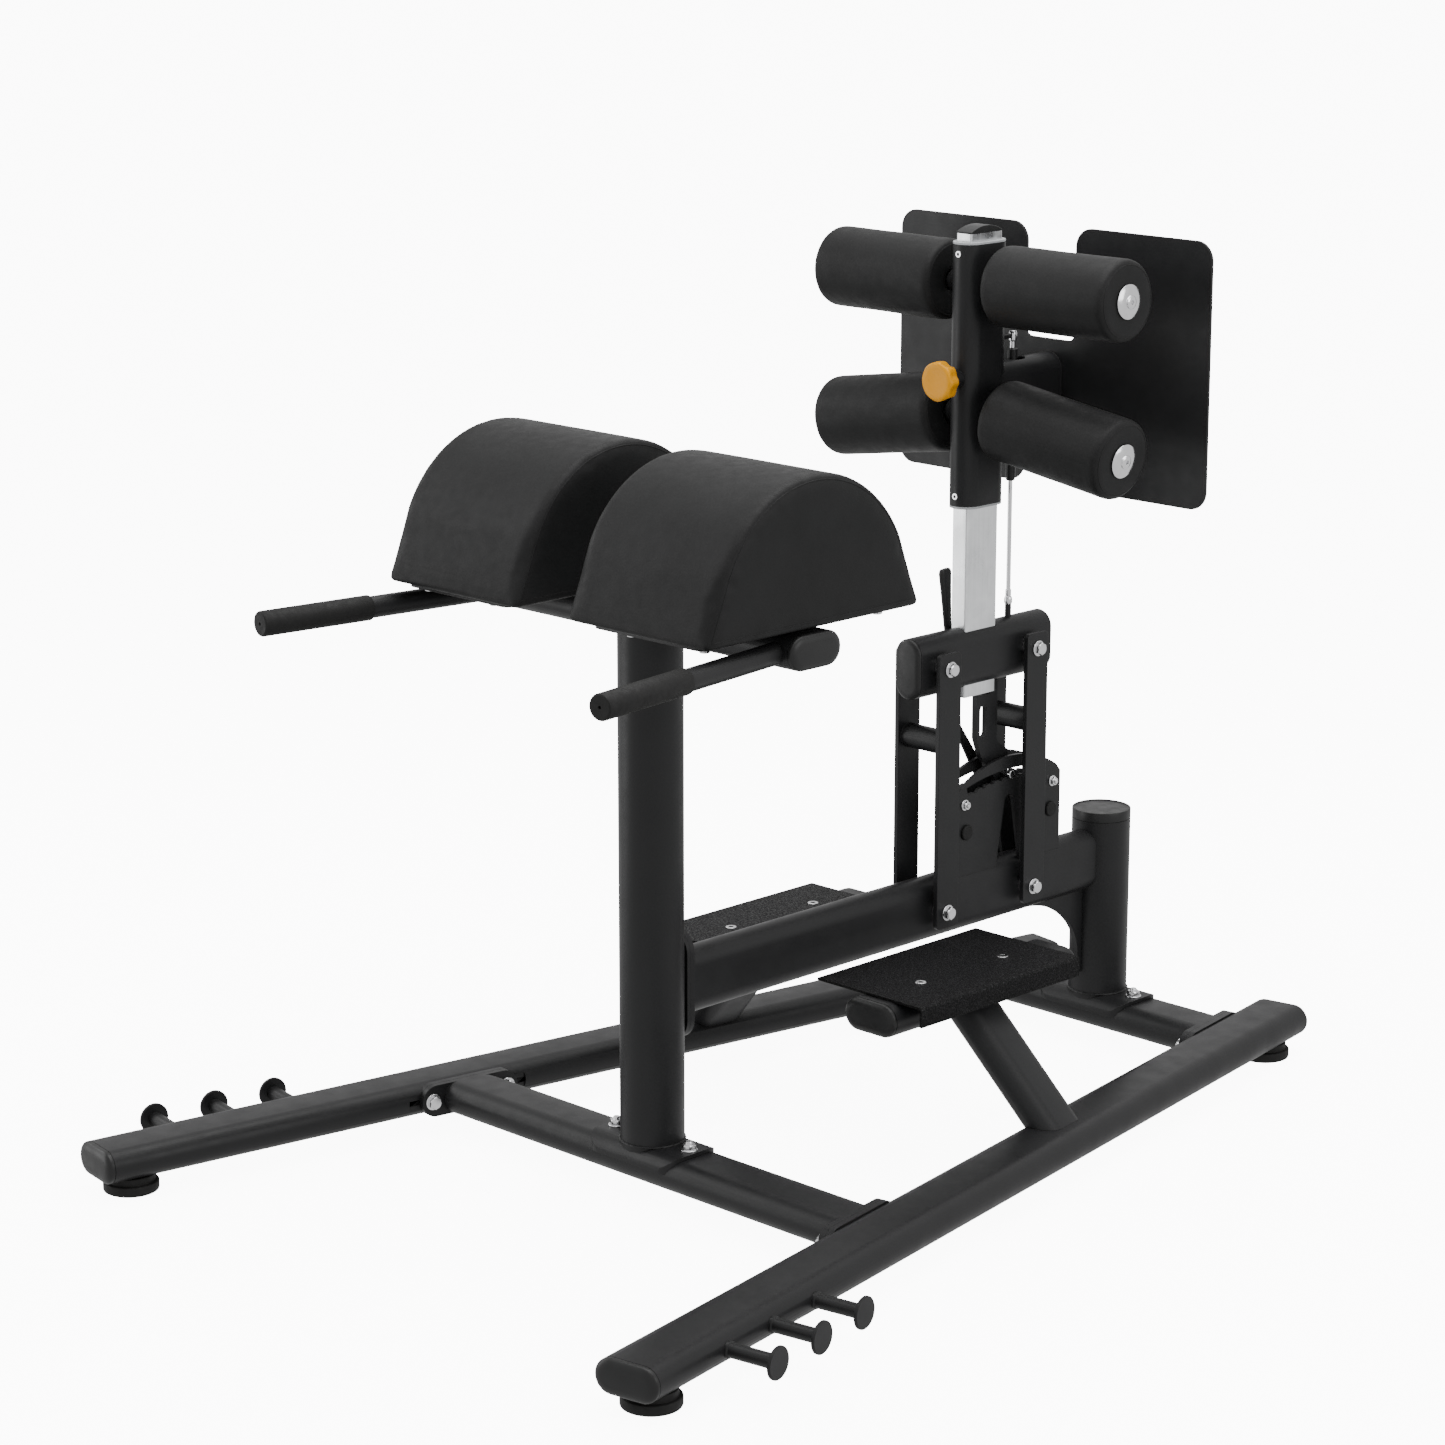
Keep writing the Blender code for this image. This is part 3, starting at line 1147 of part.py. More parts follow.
def build_base():
    for side, name in ((1, "right"), (-1, "left")):
        rail(side, name)
        foot(FRONT_FOOT.y, side, name + "_front_foot")
        foot(REAR_FOOT.y, side, name + "_rear_foot")
    cross_member(FRONT_POST_Y, "front_cross_member")
    cross_member(REAR_POST_Y, "rear_cross_member")
    front_upright()
    rear_upright()
    main_beam()
    for side, name in ((1, "right"), (-1, "left")):
        step_bracket(side, name)
        step_plate(side, name)


def build_swing():
    link(FRONT_PIVOT_Y, "front_link")
    link(REAR_PIVOT_Y, "rear_link")
    for y, place in ((FRONT_PIVOT_Y, "front"), (REAR_PIVOT_Y, "rear")):
        pivot_axle(y, BEAM_Z, place + "_lower_axle")
        pivot_axle(y, CARRIAGE_Z, place + "_upper_axle")
    carriage()
    mast()
    quadrant_plate(1, "right")
    quadrant_plate(-1, "left")
    spacer_bolt(-SPACER_REACH, "front_spacer_bolt")
    spacer_bolt(SPACER_REACH, "rear_spacer_bolt")
    lock_hanger()
    lock_pin()
    lock_lever()


def build_sleeve():
    sleeve()
    bush(SLEEVE_TOP, 1, "upper_bush")
    bush(SLEEVE_BOTTOM, -1, "lower_bush")
    for name, side, z, drop in rollers():
        roller(name, side, z, drop)
    foot_plate()
    height_pin()
    gas_spring()


clear_scene()
make_materials()
make_bench()
build_base()
handle_crossbar()
pads()
build_swing()
build_sleeve()
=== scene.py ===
"""Roman chair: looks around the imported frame. Metres, +Z up.

Every solid is rebuilt finer than its CAD node, in bench coordinates whose Y = 0 is the middle
of the front cross member, and then moved onto the frame.
"""

import json
import math

import bmesh
import bpy
from mathutils import Matrix, Vector, noise
from mathutils.bvhtree import BVHTree


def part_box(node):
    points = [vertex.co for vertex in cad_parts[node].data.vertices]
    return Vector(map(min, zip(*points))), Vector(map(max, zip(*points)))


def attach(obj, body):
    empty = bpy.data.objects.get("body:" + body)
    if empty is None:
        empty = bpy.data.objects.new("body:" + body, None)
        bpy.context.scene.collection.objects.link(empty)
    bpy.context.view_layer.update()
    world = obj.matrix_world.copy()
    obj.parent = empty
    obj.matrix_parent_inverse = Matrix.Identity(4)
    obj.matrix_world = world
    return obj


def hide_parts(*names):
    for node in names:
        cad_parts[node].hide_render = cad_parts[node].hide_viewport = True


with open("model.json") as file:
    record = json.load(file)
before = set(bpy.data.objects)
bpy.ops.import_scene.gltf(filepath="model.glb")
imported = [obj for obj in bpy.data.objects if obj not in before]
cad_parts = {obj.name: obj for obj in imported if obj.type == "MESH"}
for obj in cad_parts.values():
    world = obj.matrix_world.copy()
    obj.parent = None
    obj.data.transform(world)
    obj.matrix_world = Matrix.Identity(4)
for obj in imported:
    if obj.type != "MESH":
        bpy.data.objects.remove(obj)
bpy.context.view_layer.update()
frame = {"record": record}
NODE_BODY = {
    node: body for body, nodes in frame["record"]["behaviour"]["bodies"].items() for node in nodes}
NODE_SLOT = {row["node"]: row["material_slot"] for row in frame["record"]["subparts"]}

X_AXIS = Vector((1, 0, 0))
Y_AXIS = Vector((0, 1, 0))
Z_AXIS = Vector((0, 0, 1))


def middle(node):
    low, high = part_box(node)
    return (low + high) / 2


# General
BENCH = Matrix.Translation((0, middle("front_upright").y, 0))
GAP = 0.0003
BITE = 0.002
WALL = 0.003
BEAD_STEPS = 8
HALF_TURN_STEPS = 16
TURN_STEPS = 40
HEXAGON_STEPS = 48
SHARP_ANGLE = math.radians(32)
EDGE = 0.0009
STEEP = 0.9
CUT_REACH = 0.1
SIDES = ((1, "right"), (-1, "left"))

# Base: two splayed rails on feet, joined by two cross members
RAIL_WIDTH = 0.100
RAIL_HEIGHT = 0.050
RAIL_Z = 0.052
FRONT_FOOT = Vector((0.550, -0.536, 0))
REAR_FOOT = Vector((0.261, 1.124, 0))
RAIL_FRONT_OVERHANG = 0.048
RAIL_REAR_OVERHANG = 0.050
CAP_BASE = 0.004
CAP_DOME = 0.008
FOOT_RADIUS = 0.0415
FRONT_POST_Y = 0.0
REAR_POST_Y = 1.017
FLANGE_INSET = 0.0473
FLANGE_THICKNESS = 0.0093
FLANGE_LENGTH = 0.170
FLANGE_HEIGHT = 0.050
FLANGE_BOLT = 0.0667
PEG_START = 0.104
PEG_PITCH = 0.1015
PEG_COUNT = 3
PEG_REACH = 0.128
PEG_RADIUS = 0.0105
PEG_HEAD_RADIUS = 0.0232

# Round posts with saddle base plates
POST_RADIUS = 0.0475
SADDLE_THICKNESS = 0.006
SADDLE_LENGTH = 0.184
SADDLE_WIDTH = 0.106
SADDLE_BOLT_X = 0.076
REAR_POST_TOP = 0.373
REAR_CAP_TOP = 0.389

# Pad support and handles
CROSSBAR_WIDTH = 0.100
CROSSBAR_HEIGHT = 0.050
CROSSBAR_Z = 0.868
CROSSBAR_HALF_LENGTH = 0.318
HANDLE_RADIUS = 0.016
HANDLE_END = Vector((0.3465, -0.425, 0.867))
HANDLE_ROOT = Vector((0.2930, -0.0485, 0.867))
GRIP_LENGTH = 0.180
GRIP_RADIUS = 0.0185
PAD_INNER_X = 0.049
PAD_OUTER_X = 0.328
PAD_BOTTOM = 0.8995
PAD_HALF_DEPTH = 0.2135
PAD_HEIGHT = 0.2170
PAD_CROWN_RADIUS = 0.193
PAD_PLATE_THICKNESS = 0.0057

# Main beam
BEAM_WIDTH = 0.050
BEAM_HEIGHT = 0.100
BEAM_Z = 0.310
BEAM_FLANGE_Y = 0.0561
BEAM_FLANGE_WIDTH = 0.064
BEAM_FLANGE_THICKNESS = 0.008
BEAM_FLANGE_HEIGHT = 0.165
BEAM_FLANGE_BOLT = 0.066
GUSSET_REACH = 0.153
GUSSET_DROP = 0.110

# Foot steps beside the beam
STEP_INNER_X = 0.073
STEP_OUTER_X = 0.282
STEP_FRONT_Y = 0.272
STEP_REAR_Y = 0.628
STEP_TOP = 0.2836
STEP_THICKNESS = 0.004
STEP_LIP_BOTTOM = 0.2525
STEP_TUBE_X = 0.198
STEP_TUBE_FRONT_Y = 0.258
STEP_TUBE_REAR_Y = 0.658
STEP_SCREWS_Y = (0.363, 0.547)
STRUT_FOOT_Y = 0.482
STRUT_WIDTH = 0.090
STRUT_DEPTH = 0.050
STRUT_RUN = 0.147

# Parallel links between the beam and the carriage
FRONT_PIVOT_Y = 0.592
REAR_PIVOT_Y = 0.796
CARRIAGE_Z = 0.696
LINK_WIDTH = 0.049
LINK_THICKNESS = 0.008
LINK_INNER_X = 0.038
LINK_END = 0.025
LINK_TIE_Z = 0.579
LINK_TIE_RADIUS = 0.019
AXLE_RADIUS = 0.006
AXLE_BOSS_RADIUS = 0.014
AXLE_RUN_GAP = 0.0005

# Carriage and its post
CARRIAGE_WIDTH = 0.050
CARRIAGE_HEIGHT = 0.095
CARRIAGE_FRONT_Y = 0.549
CARRIAGE_REAR_Y = 0.849
MAST_WIDTH = 0.030
MAST_DEPTH = 0.0716
MAST_Y = 0.6950
MAST_BOTTOM = 0.634
MAST_TOP = 1.350
MAST_CAP_TOP = 1.3612

# Quadrant plates and lock
QUADRANT_Y = 0.7625
QUADRANT_INNER_X = 0.0145
QUADRANT_THICKNESS = 0.006
QUADRANT_HALF_LENGTH = 0.124
QUADRANT_ARC_Z = 0.314
QUADRANT_ARC_RADIUS = 0.2104
QUADRANT_SHOULDER_Z = 0.479
LOCK_Z = 0.4955
LOCK_PIN_RADIUS = 0.0040
LOCK_PLAY = 0.0007
LOCK_LIFT = 0.0034
NOTCH_RADIUS = 0.0066
NOTCH_DROP = 0.0014
NOTCH_COUNT = 9
SWING_LIMIT = math.radians(12)
SPACER_REACH = 0.1045
SPACER_Z = 0.4645
STOP_REACH = 0.1005
STOP_Z = 0.4195
LEVER_X = -0.0315
LEVER_BAR = 0.004
LEVER_ARM = 0.014
LEVER_RISE = 0.002
RIVET_RADIUS = 0.0025

# Sliding sleeve with rollers and foot plate
SLEEVE_WIDTH = 0.050
SLEEVE_DEPTH = 0.095
SLEEVE_BOTTOM = 0.935
SLEEVE_TOP = 1.334
BUSH_LENGTH = 0.030
ROLLER_RADIUS = 0.0636
ROLLER_LENGTH = 0.241
ROLLER_START = 0.050
ROLLER_EDGE = 0.009
UPPER_ROLLER_Z = 1.2725
LOWER_ROLLER_Z = 1.0706
LOWER_ROLLER_DROP = math.radians(8.35)
ROLLER_BORE = 0.0130
STUB_RADIUS = 0.0125
PLATE_INNER_X = 0.049
PLATE_OUTER_X = 0.3115
PLATE_BOTTOM = 0.939
PLATE_TOP = 1.346
PLATE_FACE_Y = 0.863
PLATE_THICKNESS = 0.005
PLATE_CORNER = 0.030
NOTCH_CORNER = 0.012
WEB_BOTTOM = 1.035
WEB_TOP = 1.170
ARM_Z = 1.1025

# Height pin and gas spring
KNOB_Z = 1.1317
KNOB_FACE_Y = 0.5997
KNOB_RADIUS = 0.0286
KNOB_LOBE = 0.0016
KNOB_LOBES = 8
KNOB_LENGTH = 0.025
HEIGHT_HOLES = 7
HEIGHT_PITCH = 0.025
SPRING_Y = 0.776
SPRING_BOTTOM = 0.9586
SPRING_TOP = 1.165
SPRING_RADIUS = 0.0078
ROD_RADIUS = 0.0035
ROD_BOTTOM = 0.7625
SPRING_EYE_Z = 1.184


# ---------------------------------------------------------------- materials

BACKDROP_GLOW = 10.0      # how bright floor and backdrop look to the camera
SKY_GLOW = 0.95          # how strongly the surroundings light the bench


class Shader:
    """A Principled material and short ways to wire nodes into it."""

    def __init__(self, name, colour, roughness, metallic=0.0, shine=0.5):
        self.material = bpy.data.materials.new(name)
        self.material.use_nodes = True
        self.tree = self.material.node_tree
        self.surface = self.tree.nodes["Principled BSDF"]
        self.surface.inputs["Base Color"].default_value = (*colour, 1)
        self.surface.inputs["Roughness"].default_value = roughness
        self.surface.inputs["Metallic"].default_value = metallic
        self.surface.inputs["Specular IOR Level"].default_value = shine
        self.height = None
        self.place = self.node("ShaderNodeTexCoord").outputs["Object"]

    def node(self, kind, **settings):
        item = self.tree.nodes.new(kind)
        for key, value in settings.items():
            setattr(item, key, value)
        return item

    def link(self, out, into):
        self.tree.links.new(out, into)

    def stretched(self, scale, turn=(0, 0, 0)):
        item = self.node("ShaderNodeMapping")
        item.inputs["Scale"].default_value = scale
        item.inputs["Rotation"].default_value = turn
        self.link(self.place, item.inputs["Vector"])
        return item.outputs["Vector"]

    def noise(self, scale, detail=3.0, rough=0.5, place=None, distortion=0.0):
        item = self.node("ShaderNodeTexNoise")
        item.inputs["Scale"].default_value = scale
        item.inputs["Detail"].default_value = detail
        item.inputs["Roughness"].default_value = rough
        item.inputs["Distortion"].default_value = distortion
        self.link(place or self.place, item.inputs["Vector"])
        return item.outputs["Fac"]

    def cells(self, scale, feature="F1", place=None):
        item = self.node("ShaderNodeTexVoronoi", feature=feature)
        item.inputs["Scale"].default_value = scale
        self.link(place or self.place, item.inputs["Vector"])
        return item.outputs["Distance"]

    def ramp(self, value, low, high, out_low=0.0, out_high=1.0):
        item = self.node("ShaderNodeMapRange")
        for socket, limit in zip(item.inputs[1:5], (low, high, out_low, out_high)):
            socket.default_value = limit
        self.link(value, item.inputs["Value"])
        return item.outputs["Result"]

    def maths(self, operation, first, second):
        item = self.node("ShaderNodeMath", operation=operation)
        self.link(first, item.inputs[0])
        self.link(second, item.inputs[1])
        return item.outputs[0]

    def mix(self, share, first, second):
        item = self.node("ShaderNodeMix", data_type="RGBA")
        self.link(share, item.inputs[0])
        item.inputs[6].default_value = (*first, 1)
        item.inputs[7].default_value = (*second, 1)
        return item.outputs[2]

    def colour(self, out):
        self.link(out, self.surface.inputs["Base Color"])

    def roughness(self, out):
        self.link(out, self.surface.inputs["Roughness"])

    def bump(self, height, strength, distance):
        item = self.node("ShaderNodeBump")
        item.inputs["Strength"].default_value = strength
        item.inputs["Distance"].default_value = distance
        self.link(height, item.inputs["Height"])
        if self.height is not None:
            self.link(self.height, item.inputs["Normal"])
        self.height = item.outputs["Normal"]
        self.link(self.height, self.surface.inputs["Normal"])


def mottled(name, tones, tone_noise, gloss, gloss_noise=None, metallic=0.0, shine=0.5):
    """Slow tone variation, and gloss that varies between two roughness values."""
    s = Shader(name, tones[0], gloss[0], metallic, shine)
    s.colour(s.mix(s.noise(*tone_noise), *tones))
    if gloss_noise:
        s.roughness(s.ramp(s.noise(*gloss_noise), 0.3, 0.7, *gloss))
    return s


def powder_coat():
    """Satin black with a very fine orange peel and faint uneven gloss."""
    tones = (0.0088, 0.0088, 0.0092), (0.0130, 0.0130, 0.0138)
    s = mottled("powder_coat_black", tones, (9, 4), (0.36, 0.46), (30, 4), shine=0.24)
    s.bump(s.noise(900, 2), 0.16, 0.0004)
    s.bump(s.cells(2400), 0.05, 0.0002)
    return s.material


def vinyl():
    """Black upholstery: small leather grain, pores, and slow tension ripples."""
    tones = (0.0085, 0.0085, 0.0085), (0.0145, 0.0145, 0.0148)
    s = mottled("vinyl_black", tones, (14, 5), (0.42, 0.55), (60, 4), shine=0.12)
    grain = s.maths("ADD", s.cells(620, "DISTANCE_TO_EDGE"), s.noise(420, 3))
    s.bump(s.noise(9, 2), 0.10, 0.0020)
    s.bump(s.noise(120, 3, place=s.stretched((1, 1, 0.18))), 0.12, 0.0006)
    s.bump(grain, 0.40, 0.0004)
    return s.material


def grained(grain, *look, **more):
    """Mottled material under one fine grain: noise scale, detail, strength and distance."""
    s = mottled(*look, **more)
    s.bump(s.noise(*grain[:2]), *grain[2:])
    return s.material


def plastic():
    return grained(
        (1800, 2, 0.14, 0.0002), "plastic_black", ((0.0100, 0.0100, 0.0102), (0.0150, 0.0150, 0.0152)),
        (25, 3), (0.32, 0.44), (70, 3), shine=0.26)


def rubber():
    return grained(
        (1300, 3, 0.25, 0.0003), "rubber_black", ((0.0070, 0.0070, 0.0070), (0.0120, 0.0118, 0.0115)),
        (40, 4), (0.55, 0.72), (120, 4), shine=0.2)


def grit():
    """Coarse anti-slip coating: sharp lumps, with bright glints painted into its colour as pale specks.
    """
    s = Shader("grit_black", (0.016, 0.016, 0.016), 0.6, shine=0.09)
    # Painted highlight: pale specks in the base colour stand for the glints of the grit.
    painted_glints = s.ramp(s.noise(560, 3, 0.6), 0.575, 0.66)
    s.colour(s.mix(painted_glints, (0.0040, 0.0040, 0.0042), (0.050, 0.050, 0.052)))
    s.roughness(s.ramp(s.noise(380, 3), 0.35, 0.65, 0.30, 0.75))
    s.bump(s.noise(430, 4, 0.65), 1.0, 0.0022)
    return s.material


def brushed_steel():
    """Zinc-plated post: long fine lines, soft clouds and a few scratches."""
    s = Shader("steel_brushed", (0.72, 0.73, 0.74), 0.34, 1.0)
    lines = s.noise(160, 5, 0.7, s.stretched((1, 1, 0.02)))
    clouds = s.noise(22, 4, 0.6, distortion=0.6)
    scratches = s.noise(90, 6, 0.75, s.stretched((1, 1, 0.12), (0.5, 0.15, 0)))
    tone = s.maths("ADD", s.ramp(lines, 0.3, 0.7, 0, 0.5), s.ramp(clouds, 0.35, 0.65, 0, 0.5))
    s.colour(s.mix(tone, (0.62, 0.63, 0.64), (0.84, 0.85, 0.86)))
    gloss = s.maths("ADD", s.ramp(lines, 0.3, 0.7, 0.20, 0.30), s.ramp(clouds, 0.35, 0.65, 0.02, 0.14))
    s.roughness(gloss)
    s.bump(lines, 0.10, 0.0003)
    s.bump(s.ramp(scratches, 0.62, 0.66), 0.10, 0.0002)
    return s.material


def chrome():
    return grained(
        (700, 2, 0.04, 0.0002), "chrome", ((0.64, 0.64, 0.65), (0.80, 0.80, 0.81)),
        (90, 3), (0.12, 0.26), (160, 4), metallic=1.0)


def bush_plastic():
    return grained(
        (1500, 2, 0.12, 0.0002), "bush_grey", ((0.28, 0.29, 0.30), (0.36, 0.37, 0.38)),
        (60, 3), (0.45,))


def amber():
    return grained(
        (1200, 2, 0.06, 0.0002), "amber_plastic", ((0.56, 0.235, 0.0008), (0.64, 0.270, 0.0012)),
        (45, 3), (0.24, 0.36), (140, 3), shine=0.15)


def pale_floor():
    s = Shader("pale_floor", (0.86, 0.86, 0.86), 0.75)
    s.colour(s.mix(s.noise(3, 3), (0.85, 0.85, 0.85), (0.87, 0.87, 0.87)))
    s.surface.inputs["Emission Color"].default_value = (1.0, 1.0, 1.0, 1.0)
    s.surface.inputs["Emission Strength"].default_value = BACKDROP_GLOW
    return s.material


MATERIALS = {
    "powder_black": powder_coat(), "vinyl_black": vinyl(), "plastic_black": plastic(),
    "rubber_black": rubber(), "grit_black": grit(), "steel_brushed": brushed_steel(),
    "chrome": chrome(), "bush_grey": bush_plastic(), "amber_plastic": amber()}


# ---------------------------------------------------------------- outlines

def oval(width, height, grow=0.0, steps=HALF_TURN_STEPS):
    """Flat oval about the origin: two half circles joined by straight sides."""
    width += 2 * grow
    height += 2 * grow
    radius = min(width, height) / 2
    wide = width >= height
    reach = max(width, height) / 2 - radius
    turn = -math.pi / 2 if wide else 0.0
    points = []
    for half in (0, 1):
        shift = reach if half == 0 else -reach
        for step in range(steps + 1):
            angle = turn + math.pi * (half + step / steps)
            x = radius * math.cos(angle) + (shift if wide else 0.0)
            y = radius * math.sin(angle) + (0.0 if wide else shift)
            points.append((x, y))
    return points


def circle(radius, steps=TURN_STEPS, centre=(0.0, 0.0)):
    turns = [2 * math.pi * step / steps for step in range(steps)]
    return [(centre[0] + radius * math.cos(a), centre[1] + radius * math.sin(a)) for a in turns]


def rounded(width, height, radius, centre=(0.0, 0.0), steps=8):
    """Rectangle with round corners."""
    points = []
    for quarter, (sx, sy) in enumerate(((1, 1), (-1, 1), (-1, -1), (1, -1))):
        for step in range(steps + 1):
            angle = math.pi / 2 * (quarter + step / steps)
            x = centre[0] + sx * (width / 2 - radius) + radius * math.cos(angle)
            y = centre[1] + sy * (height / 2 - radius) + radius * math.sin(angle)
            points.append((x, y))
    return points


def arc(centre, radius, start, end, steps):
    """Points on a circle from one angle to another, in radians."""
    angles = [start + (end - start) * step / steps for step in range(steps + 1)]
    return [(centre[0] + radius * math.cos(a), centre[1] + radius * math.sin(a)) for a in angles]


def hexagon(across, limit):
    """Hexagon by its width across flats, with its corners trimmed to a radius."""
    points = []
    for step in range(HEXAGON_STEPS):
        angle = 2 * math.pi * step / HEXAGON_STEPS
        lean = (angle + math.pi / 6) % (math.pi / 3) - math.pi / 6
        radius = min(across / 2 / math.cos(lean), limit)
        points.append((radius * math.cos(angle), radius * math.sin(angle)))
    return points


# ---------------------------------------------------------------- solids

def frame_at(origin, along, up=None):
    """Matrix whose Z runs along, whose Y leans to up, and whose X completes them."""
    z = Vector(along).normalized()
    if up is None:
        up = Y_AXIS if abs(z.z) > STEEP else Z_AXIS
    y = (Vector(up) - z * z.dot(Vector(up))).normalized()
    x = y.cross(z)
    return Matrix.Translation(Vector(origin)) @ Matrix((x, y, z)).transposed().to_4x4()


def solid(bm, matrix=Matrix()):
    """Scratch object from a closed bmesh, with its faces pointing out."""
    bmesh.ops.recalc_face_normals(bm, faces=bm.faces)
    mesh = bpy.data.meshes.new("solid")
    bm.to_mesh(mesh)
    bm.free()
    mesh.transform(matrix)
    item = bpy.data.objects.new("solid", mesh)
    bpy.context.scene.collection.objects.link(item)
    return item


def ring(bm, outline, height=0.0):
    verts = [bm.verts.new((x, y, height)) for x, y in outline]
    return [bm.edges.new((verts[i - 1], verts[i])) for i in range(len(verts))]


def prism(outline, length, matrix, inner=None):
    """Outline extruded along the matrix's Z, with a bore where inner is given."""
    bm = bmesh.new()
    edges = ring(bm, outline)
    if inner is None:
        bm.faces.new([edge.verts[1] for edge in edges])
    else:
        bmesh.ops.bridge_loops(bm, edges=edges + ring(bm, inner))
    region = bmesh.ops.extrude_face_region(bm, geom=bm.faces[:])
    moved = [item for item in region["geom"] if isinstance(item, bmesh.types.BMVert)]
    bmesh.ops.translate(bm, verts=moved, vec=(0, 0, length))
    return solid(bm, matrix)


def stacked(sections, matrix):
    """Closed solid through a row of outlines, each given with its height."""
    bm = bmesh.new()
    rings = [ring(bm, outline, height) for outline, height in sections]
    for low, high in zip(rings, rings[1:]):
        bmesh.ops.bridge_loops(bm, edges=low + high)
    for cap in (rings[0], rings[-1]):
        bmesh.ops.contextual_create(bm, geom=cap)
    return solid(bm, matrix)


def inset(radius, points):
    """Profile points given as how far they lie inside a radius, and their height."""
    return [(radius - depth, height) for depth, height in points]


def turned(profile, matrix, steps=TURN_STEPS, closed=False):
    """Profile of (radius, height) points spun about the matrix's Z."""
    bm = bmesh.new()
    verts = [bm.verts.new((radius, 0, height)) for radius, height in profile]
    edges = [bm.edges.new(pair) for pair in zip(verts, verts[1:])]
    if closed:
        edges.append(bm.edges.new((verts[-1], verts[0])))
    bmesh.ops.spin(bm, geom=verts + edges, angle=2 * math.pi, steps=steps, axis=(0, 0, 1))
    bmesh.ops.remove_doubles(bm, verts=bm.verts, dist=1e-6)
    return solid(bm, matrix)


def across(outline, start, thickness):
    """Outline in (y, z), extruded along X from start."""
    return prism(outline, thickness, frame_at((start, 0, 0), X_AXIS))


def through(outline):
    """Cutter that passes right through everything near the middle plane."""
    return across(outline, -CUT_REACH, 2 * CUT_REACH)


def box(low, high):
    low = Vector(low)
    size = Vector(high) - low
    outline = [(0, 0), (size.x, 0), (size.x, size.y), (0, size.y)]
    return prism(outline, size.z, Matrix.Translation(low))


def rod(start, end, radius, bore=0.0, steps=TURN_STEPS):
    span = Vector(end) - Vector(start)
    inner = circle(bore, steps) if bore else None
    return prism(circle(radius, steps), span.length, frame_at(start, span), inner)


def oval_tube(start, end, width, height, wall=WALL, grow=0.0, up=None):
    """Flat oval tube, or a solid bar where wall is 0."""
    span = Vector(end) - Vector(start)
    inner = oval(width, height, -wall) if wall else None
    return prism(oval(width, height, grow), span.length, frame_at(start, span, up), inner)


def combine(target, tool, operation):
    """Boolean of two scratch solids, kept in the first."""
    change = target.modifiers.new("combine", "BOOLEAN")
    change.operation = operation
    change.solver = "EXACT"
    change.object = tool
    view = bpy.context.evaluated_depsgraph_get()
    mesh = bpy.data.meshes.new_from_object(target.evaluated_get(view))
    target.modifiers.clear()
    target.data = mesh
    bpy.data.objects.remove(tool)
    return target


def join(target, *tools):
    for tool in tools:
        combine(target, tool, "UNION")
    return target


def cut(target, *tools):
    for tool in tools:
        combine(target, tool, "DIFFERENCE")
    return target


def common(target, tool):
    return combine(target, tool, "INTERSECT")


def gather(items):
    """Puts separate shells into one object."""
    bm = bmesh.new()
    for item in items:
        bm.from_mesh(item.data)
    for item in items[1:]:
        bpy.data.objects.remove(item)
    bm.to_mesh(items[0].data)
    bm.free()
    return items[0]


def cleaned(item):
    """Removes the spare edges that booleans leave on flat faces."""
    bm = bmesh.new()
    bm.from_mesh(item.data)
    bmesh.ops.remove_doubles(bm, verts=bm.verts, dist=2e-6)
    bmesh.ops.dissolve_limit(bm, angle_limit=0.001, verts=bm.verts, edges=bm.edges)
    bm.to_mesh(item.data)
    bm.free()
    return item


def place(item, name, body, slot, nodes=(), bevel=EDGE):
    item.data.transform(BENCH)
    item.name = name
    item.data.name = name
    item.data.materials.clear()
    item.data.materials.append(MATERIALS[slot])
    item.data.shade_smooth()
    if bevel:
        soft = item.modifiers.new("edges", "BEVEL")
        soft.width = bevel
        soft.segments = 2
        soft.limit_method = "ANGLE"
        soft.angle_limit = SHARP_ANGLE
        soft.harden_normals = True
        soft.use_clamp_overlap = True
    else:
        item.data.set_sharp_from_angle(angle=SHARP_ANGLE)
    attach(item, body)
    if nodes:
        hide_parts(*nodes)
    return item


def refine(item, node, bevel=EDGE):
    """A finer stand-in for one CAD node."""
    return place(cleaned(item), node + "_fine", NODE_BODY[node], NODE_SLOT[node], (node,), bevel)


# ---------------------------------------------------------------- fasteners

def washer(spot, out, radius, thickness):
    """Flat round disc with a small chamfer."""
    edge = thickness * 0.3
    profile = [(0, 0), (radius, 0), (radius, thickness - edge), (radius - edge, thickness),
               (0, thickness)]
    return turned(profile, frame_at(spot, out), 36)


def hex_head(spot, out, across, height, thread=0.0, reach=0.0):
    """Chamfered hexagon, with a threaded end standing out of it for a nut."""
    corner = across / math.sqrt(3)
    at = frame_at(spot, out)
    sections = [
        (hexagon(across, corner * 0.955), 0.0), (hexagon(across, corner), height * 0.16),
        (hexagon(across, corner), height * 0.80), (hexagon(across, across * 0.475), height)]
    head = stacked(sections, at)
    if not thread:
        return [head]
    profile = [(0, 0)]
    turns = max(2, int(reach / 0.0011))
    for turn in range(turns):
        low = height * 0.5 + (reach + height * 0.5) * turn / turns
        profile += [(thread * 0.90, low), (thread, low + reach / turns * 0.5)]
    profile += [(thread * 0.80, height + reach), (0, height + reach + 0.0002)]
    return [head, turned(profile, at, 24)]


def hex_bolt(spot, out, size, thread_end=False):
    """Washer and hexagon head, or washer and nut, for a bolt of a given thread size."""
    spot = Vector(spot)
    out = Vector(out).normalized()
    thick = size * 0.2
    parts = [washer(spot, out, size * 1.12, thick)]
    reach = size * 0.35 if thread_end else 0.0
    parts += hex_head(spot + out * thick, out, size * 1.62, size * 0.66,
                      size * 0.5 if thread_end else 0.0, reach)
    return parts


